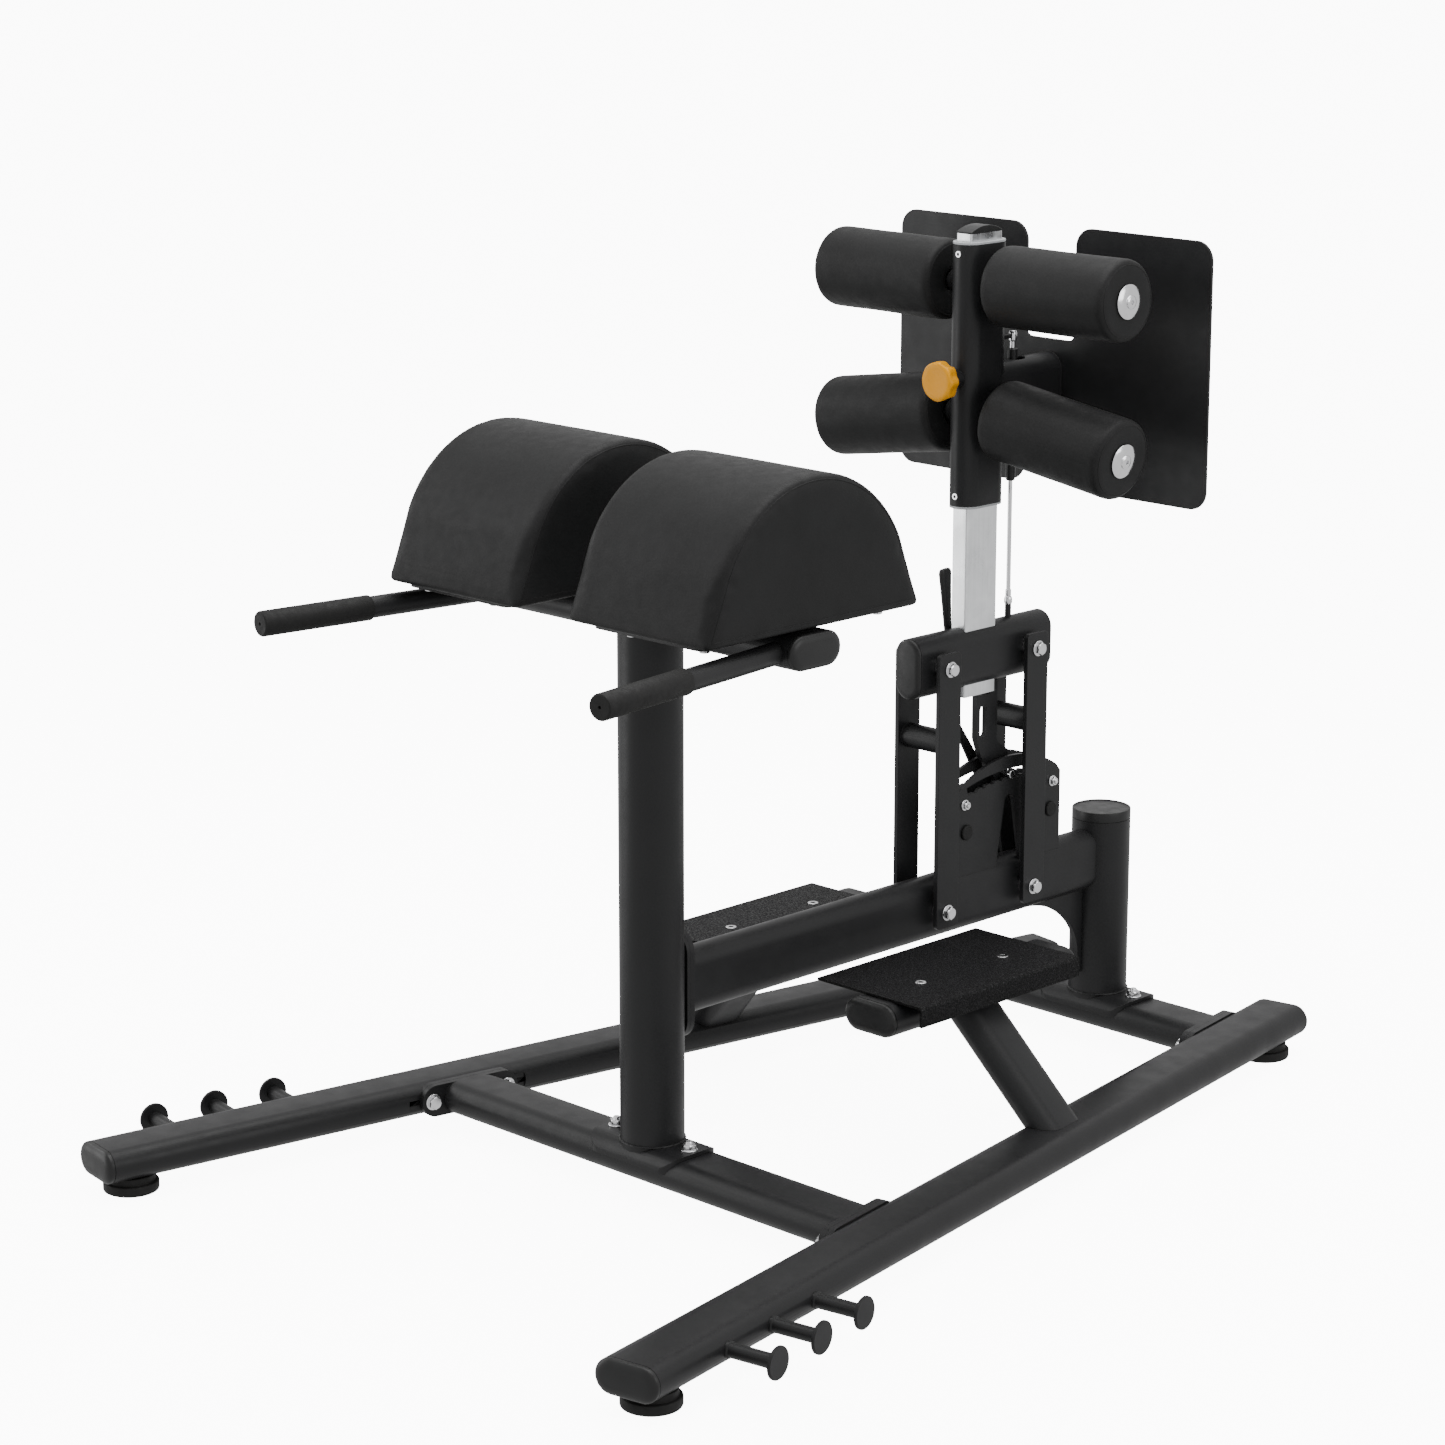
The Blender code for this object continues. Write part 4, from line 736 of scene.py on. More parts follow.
def countersunk(spot, out, radius):
    """Flat screw head with a hexagon socket, flush with its plate."""
    at = frame_at(spot, out)
    profile = [(0, -0.004), (radius * 0.5, -0.004), (radius, -0.0006), (radius, 0.0005),
               (radius - 0.0005, 0.0009), (0, 0.0009)]
    head = turned(profile, at, 36)
    socket = prism(hexagon(radius * 0.9, radius), 0.01, at @ Matrix.Translation((0, 0, -0.0026)))
    return [cut(head, socket)]


def bolts(parts, name, body, slot="chrome"):
    return place(gather(parts), name, body, slot, bevel=0.0003)


# ---------------------------------------------------------------- base

def rail_x(y):
    slope = (REAR_FOOT.x - FRONT_FOOT.x) / (REAR_FOOT.y - FRONT_FOOT.y)
    return FRONT_FOOT.x + (y - FRONT_FOOT.y) * slope


def rail_point(y, side):
    return Vector((side * rail_x(y), y, RAIL_Z))


def rail_line(side):
    """Direction of a rail, from its front foot to its rear foot."""
    return (rail_point(REAR_FOOT.y, side) - rail_point(FRONT_FOOT.y, side)).normalized()


def joint_x(y):
    """Where a cross member's flange meets the rail's flange."""
    return rail_x(y) - FLANGE_INSET


def flange_line(side):
    """Outward normal of the bolted joint, square to the rail."""
    line = rail_line(side)
    return Vector((side * abs(line.y), abs(line.x), 0))


def flange(y, offset, thickness, side):
    """Flat plate along the rail, offset outwards from the joint's plane."""
    out = flange_line(side)
    start = Vector((side * joint_x(y), y, RAIL_Z)) + out * offset
    return prism(oval(FLANGE_LENGTH, FLANGE_HEIGHT), thickness, frame_at(start, out))


def peg(number, side):
    """Round storage peg with a flat head, square to the rail's outer side."""
    base = rail_point(FRONT_FOOT.y, side) + rail_line(side) * (PEG_START + number * PEG_PITCH)
    head = PEG_REACH - 0.0055
    start = RAIL_WIDTH / 2 - BITE
    profile = [
        (0, start), (PEG_RADIUS + 0.0018, start), (PEG_RADIUS + 0.0016, start + 0.0035),
        (PEG_RADIUS, start + 0.0055), (PEG_RADIUS, head), (PEG_HEAD_RADIUS - 0.0012, head),
        (PEG_HEAD_RADIUS, head + 0.0010), (PEG_HEAD_RADIUS, PEG_REACH - 0.0014),
        (PEG_HEAD_RADIUS - 0.0014, PEG_REACH), (0, PEG_REACH)]
    return turned(profile, frame_at(base, flange_line(side)), 40)


def rail_ends(side):
    line = rail_line(side)
    front = rail_point(FRONT_FOOT.y, side) - line * RAIL_FRONT_OVERHANG
    rear = rail_point(REAR_FOOT.y, side) + line * RAIL_REAR_OVERHANG
    return front, rear


def dome(width, height, matrix, base=CAP_BASE, rise=CAP_DOME):
    """End cap for a flat oval tube: a short band and a shallow dome."""
    sections = [(oval(width, height, -0.0006), 0.0), (oval(width, height, 0.0), 0.0006),
                (oval(width, height), base)]
    for angle in range(12, 90, 12):
        turn = math.radians(angle)
        inset = -rise * 1.9 * (1 - math.cos(turn))
        sections.append((oval(width, height, inset), base + rise * math.sin(turn)))
    return stacked(sections, matrix)


def rail(side, name):
    front, rear = rail_ends(side)
    tube = oval_tube(front, rear, RAIL_WIDTH, RAIL_HEIGHT)
    out = flange_line(side)
    for y in (FRONT_POST_Y, REAR_POST_Y):
        joint = Vector((side * joint_x(y), y, RAIL_Z))
        bulge = oval(FLANGE_LENGTH, FLANGE_HEIGHT, 0.020)
        cut(tube, prism(bulge, RAIL_WIDTH, frame_at(joint - out * RAIL_WIDTH, out)))
        join(tube, flange(y, 0.0, FLANGE_THICKNESS, side))
    join(tube, *[peg(number, side) for number in range(PEG_COUNT)])
    refine(tube, name + "_rail")
    line = rail_line(side)
    for end, point, away in (("front", front, -line), ("rear", rear, line)):
        cap = dome(RAIL_WIDTH, RAIL_HEIGHT, frame_at(point + away * GAP, away))
        refine(cap, f"{name}_rail_{end}_cap", 0)


def foot(y, side, name):
    """Stepped rubber foot with a groove and a soft lower edge."""
    top = RAIL_Z - RAIL_HEIGHT / 2 - GAP
    side_points = inset(FOOT_RADIUS, (
        (0.0035, 0), (0.0010, 0.0012), (0, 0.0035), (0, 0.0135), (0.0008, 0.0152), (0.0028, 0.0162),
        (0.0050, 0.0164), (0.0056, 0.0172), (0.0056, top - 0.0010), (0.0066, top)))
    profile = [(0, 0)] + side_points + [(0, top)]
    at = rail_point(y, side)
    at.z = 0
    refine(turned(profile, Matrix.Translation(at), 56), name, 0.0004)


def cross_member(y, name):
    """Oval tube with slanted plates at its ends, parallel to the rails."""
    reach = joint_x(y) + 0.03
    tube = oval_tube((-reach, y, RAIL_Z), (reach, y, RAIL_Z), RAIL_WIDTH, RAIL_HEIGHT)
    parts = []
    for side in (1, -1):
        out = flange_line(side)
        joint = Vector((side * joint_x(y), y, RAIL_Z)) - out * GAP
        start = joint - out * (FLANGE_THICKNESS - BITE)
        cut(tube, prism(rounded(0.6, 0.2, 0.01, steps=1), 0.3, frame_at(start, out)))
        plate = flange(y, -GAP - FLANGE_THICKNESS, FLANGE_THICKNESS, side)
        join(tube, plate)
        for along in (-FLANGE_BOLT, FLANGE_BOLT):
            spot = joint - out * FLANGE_THICKNESS + rail_line(side) * along
            parts += hex_bolt(spot, -out, 0.0115)
    refine(tube, name)
    bolts(parts, name + "_bolts", "frame")


def saddle_bar(y, grow):
    """Solid bar along the cross member at y, for cutting what sits on it."""
    return oval_tube((-SADDLE_LENGTH, y, RAIL_Z), (SADDLE_LENGTH, y, RAIL_Z), RAIL_WIDTH, RAIL_HEIGHT,
                     0, grow)


def saddle(y):
    """Base plate wrapped over the cross member."""
    shell = cut(saddle_bar(y, GAP + SADDLE_THICKNESS), saddle_bar(y, GAP))
    outline = rounded(SADDLE_LENGTH, SADDLE_WIDTH, 0.030, (0, y))
    return common(shell, prism(outline, 0.1, Matrix.Translation((0, 0, RAIL_Z + 0.006))))


def welt(bm, rows, matrix=Matrix()):
    """Closed loop of tube through rows of points."""
    count = len(rows[0])
    for row, after in zip(rows, rows[1:] + rows[:1]):
        for turn in range(count):
            other = (turn + 1) % count
            bm.faces.new((row[turn], after[turn], after[other], row[other]))
    return solid(bm, matrix)


def weld_bead(y, z, radius, name):
    """Thin uneven weld where a round tube meets a plate."""
    bm = bmesh.new()
    steps = 96
    rows = []
    for step in range(steps):
        angle = 2 * math.pi * step / steps
        swell = 0.0019 + 0.0004 * math.sin(26 * angle)
        row = []
        for turn in range(BEAD_STEPS):
            lean = 2 * math.pi * turn / BEAD_STEPS
            r = radius + swell * math.cos(lean)
            height = z + swell * math.sin(lean)
            row.append(bm.verts.new((r * math.cos(angle), y + r * math.sin(angle), height)))
        rows.append(row)
    place(welt(bm, rows), name, "frame", "powder_black", bevel=0)


def round_post(y, top):
    tube = rod((0, y, RAIL_Z + 0.010), (0, y, top), POST_RADIUS, POST_RADIUS - WALL, 72)
    cut(tube, saddle_bar(y, GAP + BITE))
    return join(tube, saddle(y))


def post_bolts(y, name):
    top = RAIL_Z + RAIL_HEIGHT / 2 + GAP + SADDLE_THICKNESS
    parts = []
    for x in (-SADDLE_BOLT_X, SADDLE_BOLT_X):
        parts += hex_bolt((x, y, top), Z_AXIS, 0.0115, thread_end=True)
    bolts(parts, name, "frame")
    weld_bead(y, top + 0.0006, POST_RADIUS + 0.0004, name.replace("bolts", "weld"))


def front_upright():
    tube = round_post(FRONT_POST_Y, CROSSBAR_Z)
    cut(tube, crossbar_tube(0, GAP))
    start = Vector((0, FRONT_POST_Y + POST_RADIUS - 0.0065, BEAM_Z))
    length = BEAM_FLANGE_Y - BEAM_FLANGE_THICKNESS - GAP - start.y
    pad = prism(oval(BEAM_FLANGE_WIDTH, BEAM_FLANGE_HEIGHT), length, frame_at(start, Y_AXIS))
    refine(join(tube, pad), "front_upright")
    post_bolts(FRONT_POST_Y, "front_post_bolts")


def rear_upright():
    refine(round_post(REAR_POST_Y, REAR_POST_TOP), "rear_upright")
    post_bolts(REAR_POST_Y, "rear_post_bolts")
    height = REAR_CAP_TOP - REAR_POST_TOP - GAP
    rim = inset(POST_RADIUS, (
        (0.0005, 0), (0, 0.0006), (0, height - 0.0016), (0.0006, height - 0.0004), (0.0018, height),
        (0.0030, height - 0.0004), (0.0038, height - 0.0016), (0.0060, height - 0.0018),
        (0.0300, height - 0.0008)))
    profile = [(0, 0)] + rim + [(0, height - 0.0006)]
    at = Matrix.Translation((0, REAR_POST_Y, REAR_POST_TOP + GAP))
    refine(turned(profile, at, 72), "rear_upright_cap", 0)


# ---------------------------------------------------------------- pads and handles

def crossbar_tube(wall, grow=0.0):
    start = (-CROSSBAR_HALF_LENGTH, FRONT_POST_Y, CROSSBAR_Z)
    end = (CROSSBAR_HALF_LENGTH, FRONT_POST_Y, CROSSBAR_Z)
    return oval_tube(start, end, CROSSBAR_WIDTH, CROSSBAR_HEIGHT, wall, grow)


def handle_crossbar():
    bar = crossbar_tube(WALL)
    for side, name in SIDES:
        root = HANDLE_ROOT * Vector((side, 1, 1))
        tip = HANDLE_END * Vector((side, 1, 1))
        line = (tip - root).normalized()
        join(bar, rod(root, tip - line * 0.006, HANDLE_RADIUS, HANDLE_RADIUS - WALL))
        grip(tip, line, name + "_grip")
        face = Vector((side * (CROSSBAR_HALF_LENGTH + GAP), FRONT_POST_Y, CROSSBAR_Z))
        cap = dome(CROSSBAR_WIDTH, CROSSBAR_HEIGHT, frame_at(face, side * X_AXIS), 0.003, 0.007)
        place(cap, name + "_crossbar_cap", "frame", "plastic_black", bevel=0)
    refine(bar, "handle_crossbar")


def grip(tip, line, name):
    """Rubber sleeve with a soft lip and a vent hole in its end."""
    bore = HANDLE_RADIUS + GAP
    end = GRIP_LENGTH
    vent = 0.0022
    lip = inset(GRIP_RADIUS, (
        (0.0010, 0), (0.0003, 0.0004), (0, 0.0014), (0, end - 0.0030), (0.0008, end - 0.0012),
        (0.0026, end)))
    profile = [(bore, 0)] + lip + [
        (vent + 0.0006, end), (vent, end - 0.0006), (vent, end - 0.004), (bore, end - 0.004)]
    start = tip + line * 0.002 - line * GRIP_LENGTH
    refine(turned(profile, frame_at(start, line), 48, closed=True), name, 0)


def pad_outline(shrink=0.0):
    """Side view of a pad: flat base, leaning straight flanks and a round crown."""
    radius = PAD_CROWN_RADIUS - shrink
    crown = PAD_HEIGHT - PAD_CROWN_RADIUS
    half = PAD_HALF_DEPTH - shrink
    low = shrink
    reach = math.hypot(half, crown - low)
    lean = math.atan2(low - crown, half) + math.acos(min(1.0, radius / reach))
    points = [(half, low)]
    points += arc((0, crown), radius, lean, math.pi - lean, 48)
    points.append((-half, low))
    return points


def remeshed(item, voxel):
    change = item.modifiers.new("remesh", "REMESH")
    change.mode = "VOXEL"
    change.voxel_size = voxel
    change.use_smooth_shade = True
    return applied(item)


def applied(item):
    """Writes an object's modifiers into its mesh."""
    view = bpy.context.evaluated_depsgraph_get()
    mesh = bpy.data.meshes.new_from_object(item.evaluated_get(view))
    item.modifiers.clear()
    item.data = mesh
    return item


def swollen(item, pressure, reach, held, frames=20):
    """Inflates a closed cover as cloth, lets no point move further than reach, and applies it."""
    start = [vertex.co.copy() for vertex in item.data.vertices]
    cloth = item.modifiers.new("cover", "CLOTH")
    cloth.settings.quality = 5
    cloth.settings.mass = 0.3
    cloth.settings.tension_stiffness = 40
    cloth.settings.compression_stiffness = 40
    cloth.settings.bending_stiffness = 8.0
    cloth.settings.use_pressure = True
    cloth.settings.uniform_pressure_force = pressure
    cloth.settings.effector_weights.gravity = 0
    cloth.collision_settings.use_collision = False
    cloth.point_cache.frame_start = 1
    cloth.point_cache.frame_end = frames
    group = item.vertex_groups.new(name="held")
    group.add([i for i, co in enumerate(start) if held(co)], 1.0, "REPLACE")
    cloth.settings.vertex_group_mass = "held"
    for step in range(1, frames + 1):
        bpy.context.scene.frame_set(step)
    applied(item)
    bpy.context.scene.frame_set(1)
    for vertex, before in zip(item.data.vertices, start):
        move = vertex.co - before
        if move.length > reach:
            vertex.co = before + move * (reach / move.length)
    return item


def calmed(item, repeats):
    """Evens out the small folds that are left by the swelling."""
    change = item.modifiers.new("calm", "SMOOTH")
    change.factor = 0.5
    change.iterations = repeats
    return applied(item)


def subdivided(item, levels=1):
    change = item.modifiers.new("finer", "SUBSURF")
    change.levels = levels
    change.render_levels = levels
    return applied(item)


def rippled(mesh, scale, depth, seed, above=-1.0):
    """Shallow unevenness of stuffed upholstery, along the surface's normals."""
    normals = [vertex.normal.copy() for vertex in mesh.vertices]
    for vertex, normal in zip(mesh.vertices, normals):
        if vertex.co.z > above:
            spot = vertex.co * scale + Vector((seed, 0, 0))
            vertex.co += normal * depth * noise.noise(spot)


def seam(surface, points, radius, name, body):
    """Thin welt that follows points along a surface, partly sunk into it."""
    bm = bmesh.new()
    bm.from_mesh(surface.data)
    tree = BVHTree.FromBMesh(bm)
    bm.free()
    spots = []
    for point in points:
        spot, normal, _, _ = tree.find_nearest(Vector(point))
        spots.append((spot - normal * radius * SEAM_SINK, normal))
    bm = bmesh.new()
    rows = []
    count = len(spots)
    for i, (spot, normal) in enumerate(spots):
        along = (spots[(i + 1) % count][0] - spots[i - 1][0]).normalized()
        side = along.cross(normal).normalized()
        rise = side.cross(along)
        swell = radius * (1 + 0.12 * math.sin(i * 2.1))
        row = []
        for turn in range(BEAD_STEPS):
            lean = 2 * math.pi * turn / BEAD_STEPS
            out = side * (swell * math.cos(lean)) + rise * (swell * math.sin(lean))
            row.append(bm.verts.new(spot + out))
        rows.append(row)
    place(welt(bm, rows, BENCH.inverted()), name, body, "vinyl_black", bevel=0)


def densely(outline, spacing):
    """Closed outline resampled at an even spacing."""
    points = [Vector(p) for p in outline]
    lengths = [(points[i] - points[i - 1]).length for i in range(len(points))]
    total = sum(lengths)
    count = int(total / spacing)
    result = []
    walked = 0.0
    i = 0
    for step in range(count):
        target = total * step / count
        while walked + lengths[(i + 1) % len(points)] < target:
            walked += lengths[(i + 1) % len(points)]
            i += 1
        share = (target - walked) / max(lengths[(i + 1) % len(points)], 1e-9)
        result.append(points[i % len(points)].lerp(points[(i + 1) % len(points)], share))
    return result


COVER_VOXEL = 0.004
COVER_PRESSURE = 1.5
PAD_REACH = 0.0022
ROLLER_REACH = 0.0018
PAD_SHRINK = 0.0018
PAD_ROUND = 0.008
PAD_SEAM = 0.011
SEAM_SINK = 0.35


def cover(mesh, node, rims, radius):
    """Padded cover for a node, with a welt along each rim."""
    item = bpy.data.objects.new("solid", mesh)
    bpy.context.scene.collection.objects.link(item)
    place(item, node + "_cover", NODE_BODY[node], "vinyl_black", (node,), 0)
    for end, rim in rims:
        seam(item, [BENCH @ point for point in rim], radius, f"{node}_{end}_seam", NODE_BODY[node])


def cushion_mesh():
    """Right pad as a sewn cover swollen over its foam, in bench coordinates."""
    width = PAD_OUTER_X - PAD_INNER_X - 2 * PAD_SHRINK
    start = Vector((PAD_INNER_X + PAD_SHRINK, FRONT_POST_Y, PAD_BOTTOM))
    item = prism(pad_outline(PAD_SHRINK), width, frame_at(start, X_AXIS))
    item.data.transform(Matrix.Translation((0, 0, -PAD_SHRINK)))
    soft = item.modifiers.new("edges", "BEVEL")
    soft.width = PAD_ROUND
    soft.segments = 5
    soft.limit_method = "ANGLE"
    soft.angle_limit = math.radians(40)
    applied(item)
    remeshed(item, COVER_VOXEL)
    floor_z = PAD_BOTTOM + 0.004
    swollen(item, COVER_PRESSURE, PAD_REACH, held=lambda co: co.z < floor_z)
    return subdivided(calmed(item, 7))


def pads():
    base = cushion_mesh()
    for side, name in SIDES:
        mesh = base.data.copy()
        if side < 0:
            mesh.transform(Matrix.Scale(-1, 4, X_AXIS))
            mesh.flip_normals()
        lowest = min(vertex.co.z for vertex in mesh.vertices)
        rippled(mesh, 6, 0.0005, side * 3.0, lowest + 0.03)
        mesh.transform(Matrix.Translation((0, 0, PAD_BOTTOM - lowest)))
        node = name + "_pad"
        rim = densely(pad_outline(PAD_SEAM), 0.004)
        rims = [(end, [Vector((side * x, y, PAD_BOTTOM + z)) for y, z in rim])
                for x, end in ((PAD_OUTER_X, "outer"), (PAD_INNER_X, "inner"))]
        cover(mesh, node, rims, 0.0012)
        plate_z = PAD_BOTTOM - GAP - PAD_PLATE_THICKNESS
        outline = rounded(0.215, 0.390, 0.015, (side * 0.1925, FRONT_POST_Y))
        refine(prism(outline, PAD_PLATE_THICKNESS, Matrix.Translation((0, 0, plate_z))), node + "_plate")
        parts = []
        for x in (0.14, 0.28):
            for y in (-0.170, 0.170):
                spot = (side * x, FRONT_POST_Y + y, plate_z)
                parts += hex_bolt(spot, -Z_AXIS, 0.0085)
        bolts(parts, name + "_pad_bolts", "frame")
    bpy.data.objects.remove(base)


# ---------------------------------------------------------------- beam and steps

def pivot_hole(y, z, radius):
    return rod((-CUT_REACH, y, z), (CUT_REACH, y, z), radius)


def beam_tube(wall, grow=0.0):
    start = (0, BEAM_FLANGE_Y - BITE, BEAM_Z)
    return oval_tube(start, (0, REAR_POST_Y, BEAM_Z), BEAM_WIDTH, BEAM_HEIGHT, wall, grow)


def gusset():
    """Plate with a hollow curved edge in the corner under the beam."""
    corner = (REAR_POST_Y - POST_RADIUS, BEAM_Z - BEAM_HEIGHT / 2)
    width = 0.010
    reach = GUSSET_REACH - width
    points = [(corner[0] + width, corner[1] + BITE), (corner[0] - GUSSET_REACH, corner[1] + BITE)]
    steps = 32
    for step in range(steps + 1):
        angle = math.pi / 2 * (1 - step / steps)
        y = corner[0] - GUSSET_REACH + reach * math.cos(angle)
        z = corner[1] - GUSSET_DROP + GUSSET_DROP * math.sin(angle)
        points.append((y, z))
    points += [(corner[0] - width, corner[1] - GUSSET_DROP - 0.03),
               (corner[0] + width, corner[1] - GUSSET_DROP - 0.03)]
    thickness = 0.008
    return across(points, -thickness / 2, thickness)


def main_beam():
    beam = beam_tube(WALL)
    plate_start = Vector((0, BEAM_FLANGE_Y - BEAM_FLANGE_THICKNESS, BEAM_Z))
    outline = oval(BEAM_FLANGE_WIDTH, BEAM_FLANGE_HEIGHT)
    join(beam, prism(outline, BEAM_FLANGE_THICKNESS, frame_at(plate_start, Y_AXIS)), gusset())
    cut(beam, rod((0, REAR_POST_Y, 0), (0, REAR_POST_Y, 0.5), POST_RADIUS + GAP, steps=72))
    for y in (FRONT_PIVOT_Y, REAR_PIVOT_Y):
        cut(beam, pivot_hole(y, BEAM_Z, AXLE_RADIUS + AXLE_RUN_GAP))
    refine(beam, "main_beam")
    parts = []
    for rise in (-BEAM_FLANGE_BOLT, BEAM_FLANGE_BOLT):
        parts += hex_bolt((0, BEAM_FLANGE_Y, BEAM_Z + rise), Y_AXIS, 0.0105)
    bolts(parts, "main_beam_bolts", "frame")


STEP_TUBE_Z = STEP_TOP - STEP_THICKNESS - GAP - RAIL_HEIGHT / 2


def step_tube(side, wall, shrink=0.0):
    x = side * STEP_TUBE_X
    return oval_tube((x, STEP_TUBE_FRONT_Y, STEP_TUBE_Z), (x, STEP_TUBE_REAR_Y, STEP_TUBE_Z),
                     RAIL_WIDTH, RAIL_HEIGHT, wall, -shrink)


def step_bracket(side, name):
    """Tube under the step, its end caps, and a strut that leans in from the rail."""
    line = rail_line(side)
    inward = Vector((-side * abs(line.y), -abs(line.x), 0))
    foot_point = rail_point(STRUT_FOOT_Y, side) + Vector((0, 0, RAIL_HEIGHT / 2 - 0.020))
    head = foot_point + inward * (STRUT_RUN + 0.020)
    head.z = STEP_TOP - STEP_THICKNESS - RAIL_HEIGHT + 0.012
    strut = oval_tube(foot_point, head, STRUT_DEPTH, STRUT_WIDTH, up=line)
    cut(strut, step_tube(side, 0, BITE))
    front, rear = rail_ends(side)
    cut(strut, oval_tube(front, rear, RAIL_WIDTH, RAIL_HEIGHT, 0, GAP))
    refine(join(step_tube(side, WALL), strut), name + "_step_bracket")
    for y, away, end in ((STEP_TUBE_FRONT_Y, -Y_AXIS, "front"), (STEP_TUBE_REAR_Y, Y_AXIS, "rear")):
        spot = Vector((side * STEP_TUBE_X, y, STEP_TUBE_Z)) + away * GAP
        cap = dome(RAIL_WIDTH - 0.0006, RAIL_HEIGHT - 0.0006, frame_at(spot, away), 0.003, 0.007)
        place(cap, f"{name}_step_{end}_cap", "frame", "plastic_black", bevel=0)


def step_plate(side, name):
    """Bent tread: a flat top with a turned-down outer lip, and two screws."""
    bend = 0.006
    width = STEP_OUTER_X - STEP_INNER_X
    drop = STEP_TOP - STEP_LIP_BOTTOM
    outer = arc((width - bend, -bend), bend, math.pi / 2, 0, 8)
    inner = arc((width - bend, -bend), bend - STEP_THICKNESS, 0, math.pi / 2, 8)
    points = [(0, 0)] + outer + [(width, -drop), (width - STEP_THICKNESS, -drop)] + inner
    points.append((0, -STEP_THICKNESS))
    length = STEP_REAR_Y - STEP_FRONT_Y
    start_y = STEP_REAR_Y if side > 0 else STEP_FRONT_Y
    start = Vector((side * STEP_INNER_X, start_y, STEP_TOP))
    plate = prism(points, length, frame_at(start, -side * Y_AXIS))
    refine(plate, name + "_step_plate", 0.0005)
    parts = []
    for y in STEP_SCREWS_Y:
        parts += countersunk((side * STEP_TUBE_X, y, STEP_TOP), Z_AXIS, 0.0085)
    bolts(parts, name + "_step_screws", "frame")


# ---------------------------------------------------------------- links and carriage

def link(y, name):
    """Two flat bars with a tie tube welded between them."""
    length = CARRIAGE_Z - BEAM_Z + 2 * LINK_END
    centre = (y, (CARRIAGE_Z + BEAM_Z) / 2)
    outline = rounded(LINK_WIDTH, length, 0.008, centre)
    bars = across(outline, LINK_INNER_X, LINK_THICKNESS)
    tie_end = LINK_INNER_X + BITE
    join(bars, rod((-tie_end, y, LINK_TIE_Z), (tie_end, y, LINK_TIE_Z), LINK_TIE_RADIUS, steps=48))
    join(bars, across(outline, -LINK_INNER_X - LINK_THICKNESS, LINK_THICKNESS))
    for z in (BEAM_Z, CARRIAGE_Z):
        cut(bars, pivot_hole(y, z, AXLE_RADIUS + AXLE_RUN_GAP))
    refine(bars, name)


def pivot_axle(y, z, node):
    """Through bolt with spacers beside the tube, washers, a head and a nut."""
    face = LINK_INNER_X + LINK_THICKNESS + GAP
    parts = [rod((-face, y, z), (face, y, z), AXLE_RADIUS, steps=32)]
    for side in (1, -1):
        parts.append(rod((side * (BEAM_WIDTH / 2 + GAP), y, z), (side * (LINK_INNER_X - GAP), y, z),
                         AXLE_BOSS_RADIUS))
        parts += hex_bolt((side * face, y, z), side * X_AXIS, 0.0112, thread_end=side < 0)
    place(gather(parts), node + "_fine", NODE_BODY[node], "chrome", (node,), 0.0003)


def carriage():
    start = Vector((0, CARRIAGE_FRONT_Y, CARRIAGE_Z))
    end = Vector((0, CARRIAGE_REAR_Y, CARRIAGE_Z))
    tube = oval_tube(start, end, CARRIAGE_WIDTH, CARRIAGE_HEIGHT)
    for y in (FRONT_PIVOT_Y, REAR_PIVOT_Y):
        cut(tube, pivot_hole(y, CARRIAGE_Z, AXLE_RADIUS + AXLE_RUN_GAP))
    half = Vector((MAST_WIDTH / 2 + GAP, MAST_DEPTH / 2 + GAP, 0))
    centre = Vector((0, MAST_Y, 0))
    cut(tube, box(centre - half + Z_AXIS * 0.5, centre + half + Z_AXIS * 0.9))
    top = CARRIAGE_Z + CARRIAGE_HEIGHT / 2
    join(tube, rod((0, SPRING_Y, top - BITE), (0, SPRING_Y, ROD_BOTTOM - GAP), 0.0050))
    refine(tube, "carriage_tube")
    for end_name, point, away in (("front", start, -Y_AXIS), ("rear", end, Y_AXIS)):
        at = frame_at(point + away * GAP, away)
        refine(dome(CARRIAGE_WIDTH, CARRIAGE_HEIGHT, at, 0.001, 0.0055), f"carriage_{end_name}_cap", 0)


def mast():
    """Bright rectangular post with a row of height holes in its front face."""
    base = frame_at((0, MAST_Y, MAST_BOTTOM), Z_AXIS)
    inner = rounded(MAST_WIDTH - 2 * WALL, MAST_DEPTH - 2 * WALL, 0.001)
    tube = prism(rounded(MAST_WIDTH, MAST_DEPTH, 0.003), MAST_TOP - MAST_BOTTOM, base, inner)
    front = MAST_Y - MAST_DEPTH / 2
    for number in range(HEIGHT_HOLES):
        z = KNOB_Z - number * HEIGHT_PITCH
        cut(tube, rod((0, front - 0.01, z), (0, front + 0.01, z), 0.0058))
    refine(tube, "mast", 0.0004)
    low = MAST_TOP + GAP
    rise = MAST_CAP_TOP - low - 0.002
    half = MAST_DEPTH / 2
    radius = (half ** 2 + rise ** 2) / (2 * rise)
    spread = math.asin(half / radius)
    crown = arc((MAST_Y, MAST_CAP_TOP - radius), radius,
                math.pi / 2 - spread, math.pi / 2 + spread, 24)
    points = [(MAST_Y - half, low), (MAST_Y + half, low)] + crown
    refine(across(points, -MAST_WIDTH / 2, MAST_WIDTH), "mast_cap", 0.0016)


# ---------------------------------------------------------------- quadrant and lock

def swing_point(turn, drop=0.0):
    """Where the lock pin lies when the links have swung by an angle."""
    length = CARRIAGE_Z - BEAM_Z
    low = LOCK_Z - length
    return QUADRANT_Y + (length - drop) * math.sin(turn), low + (length - drop) * math.cos(turn)


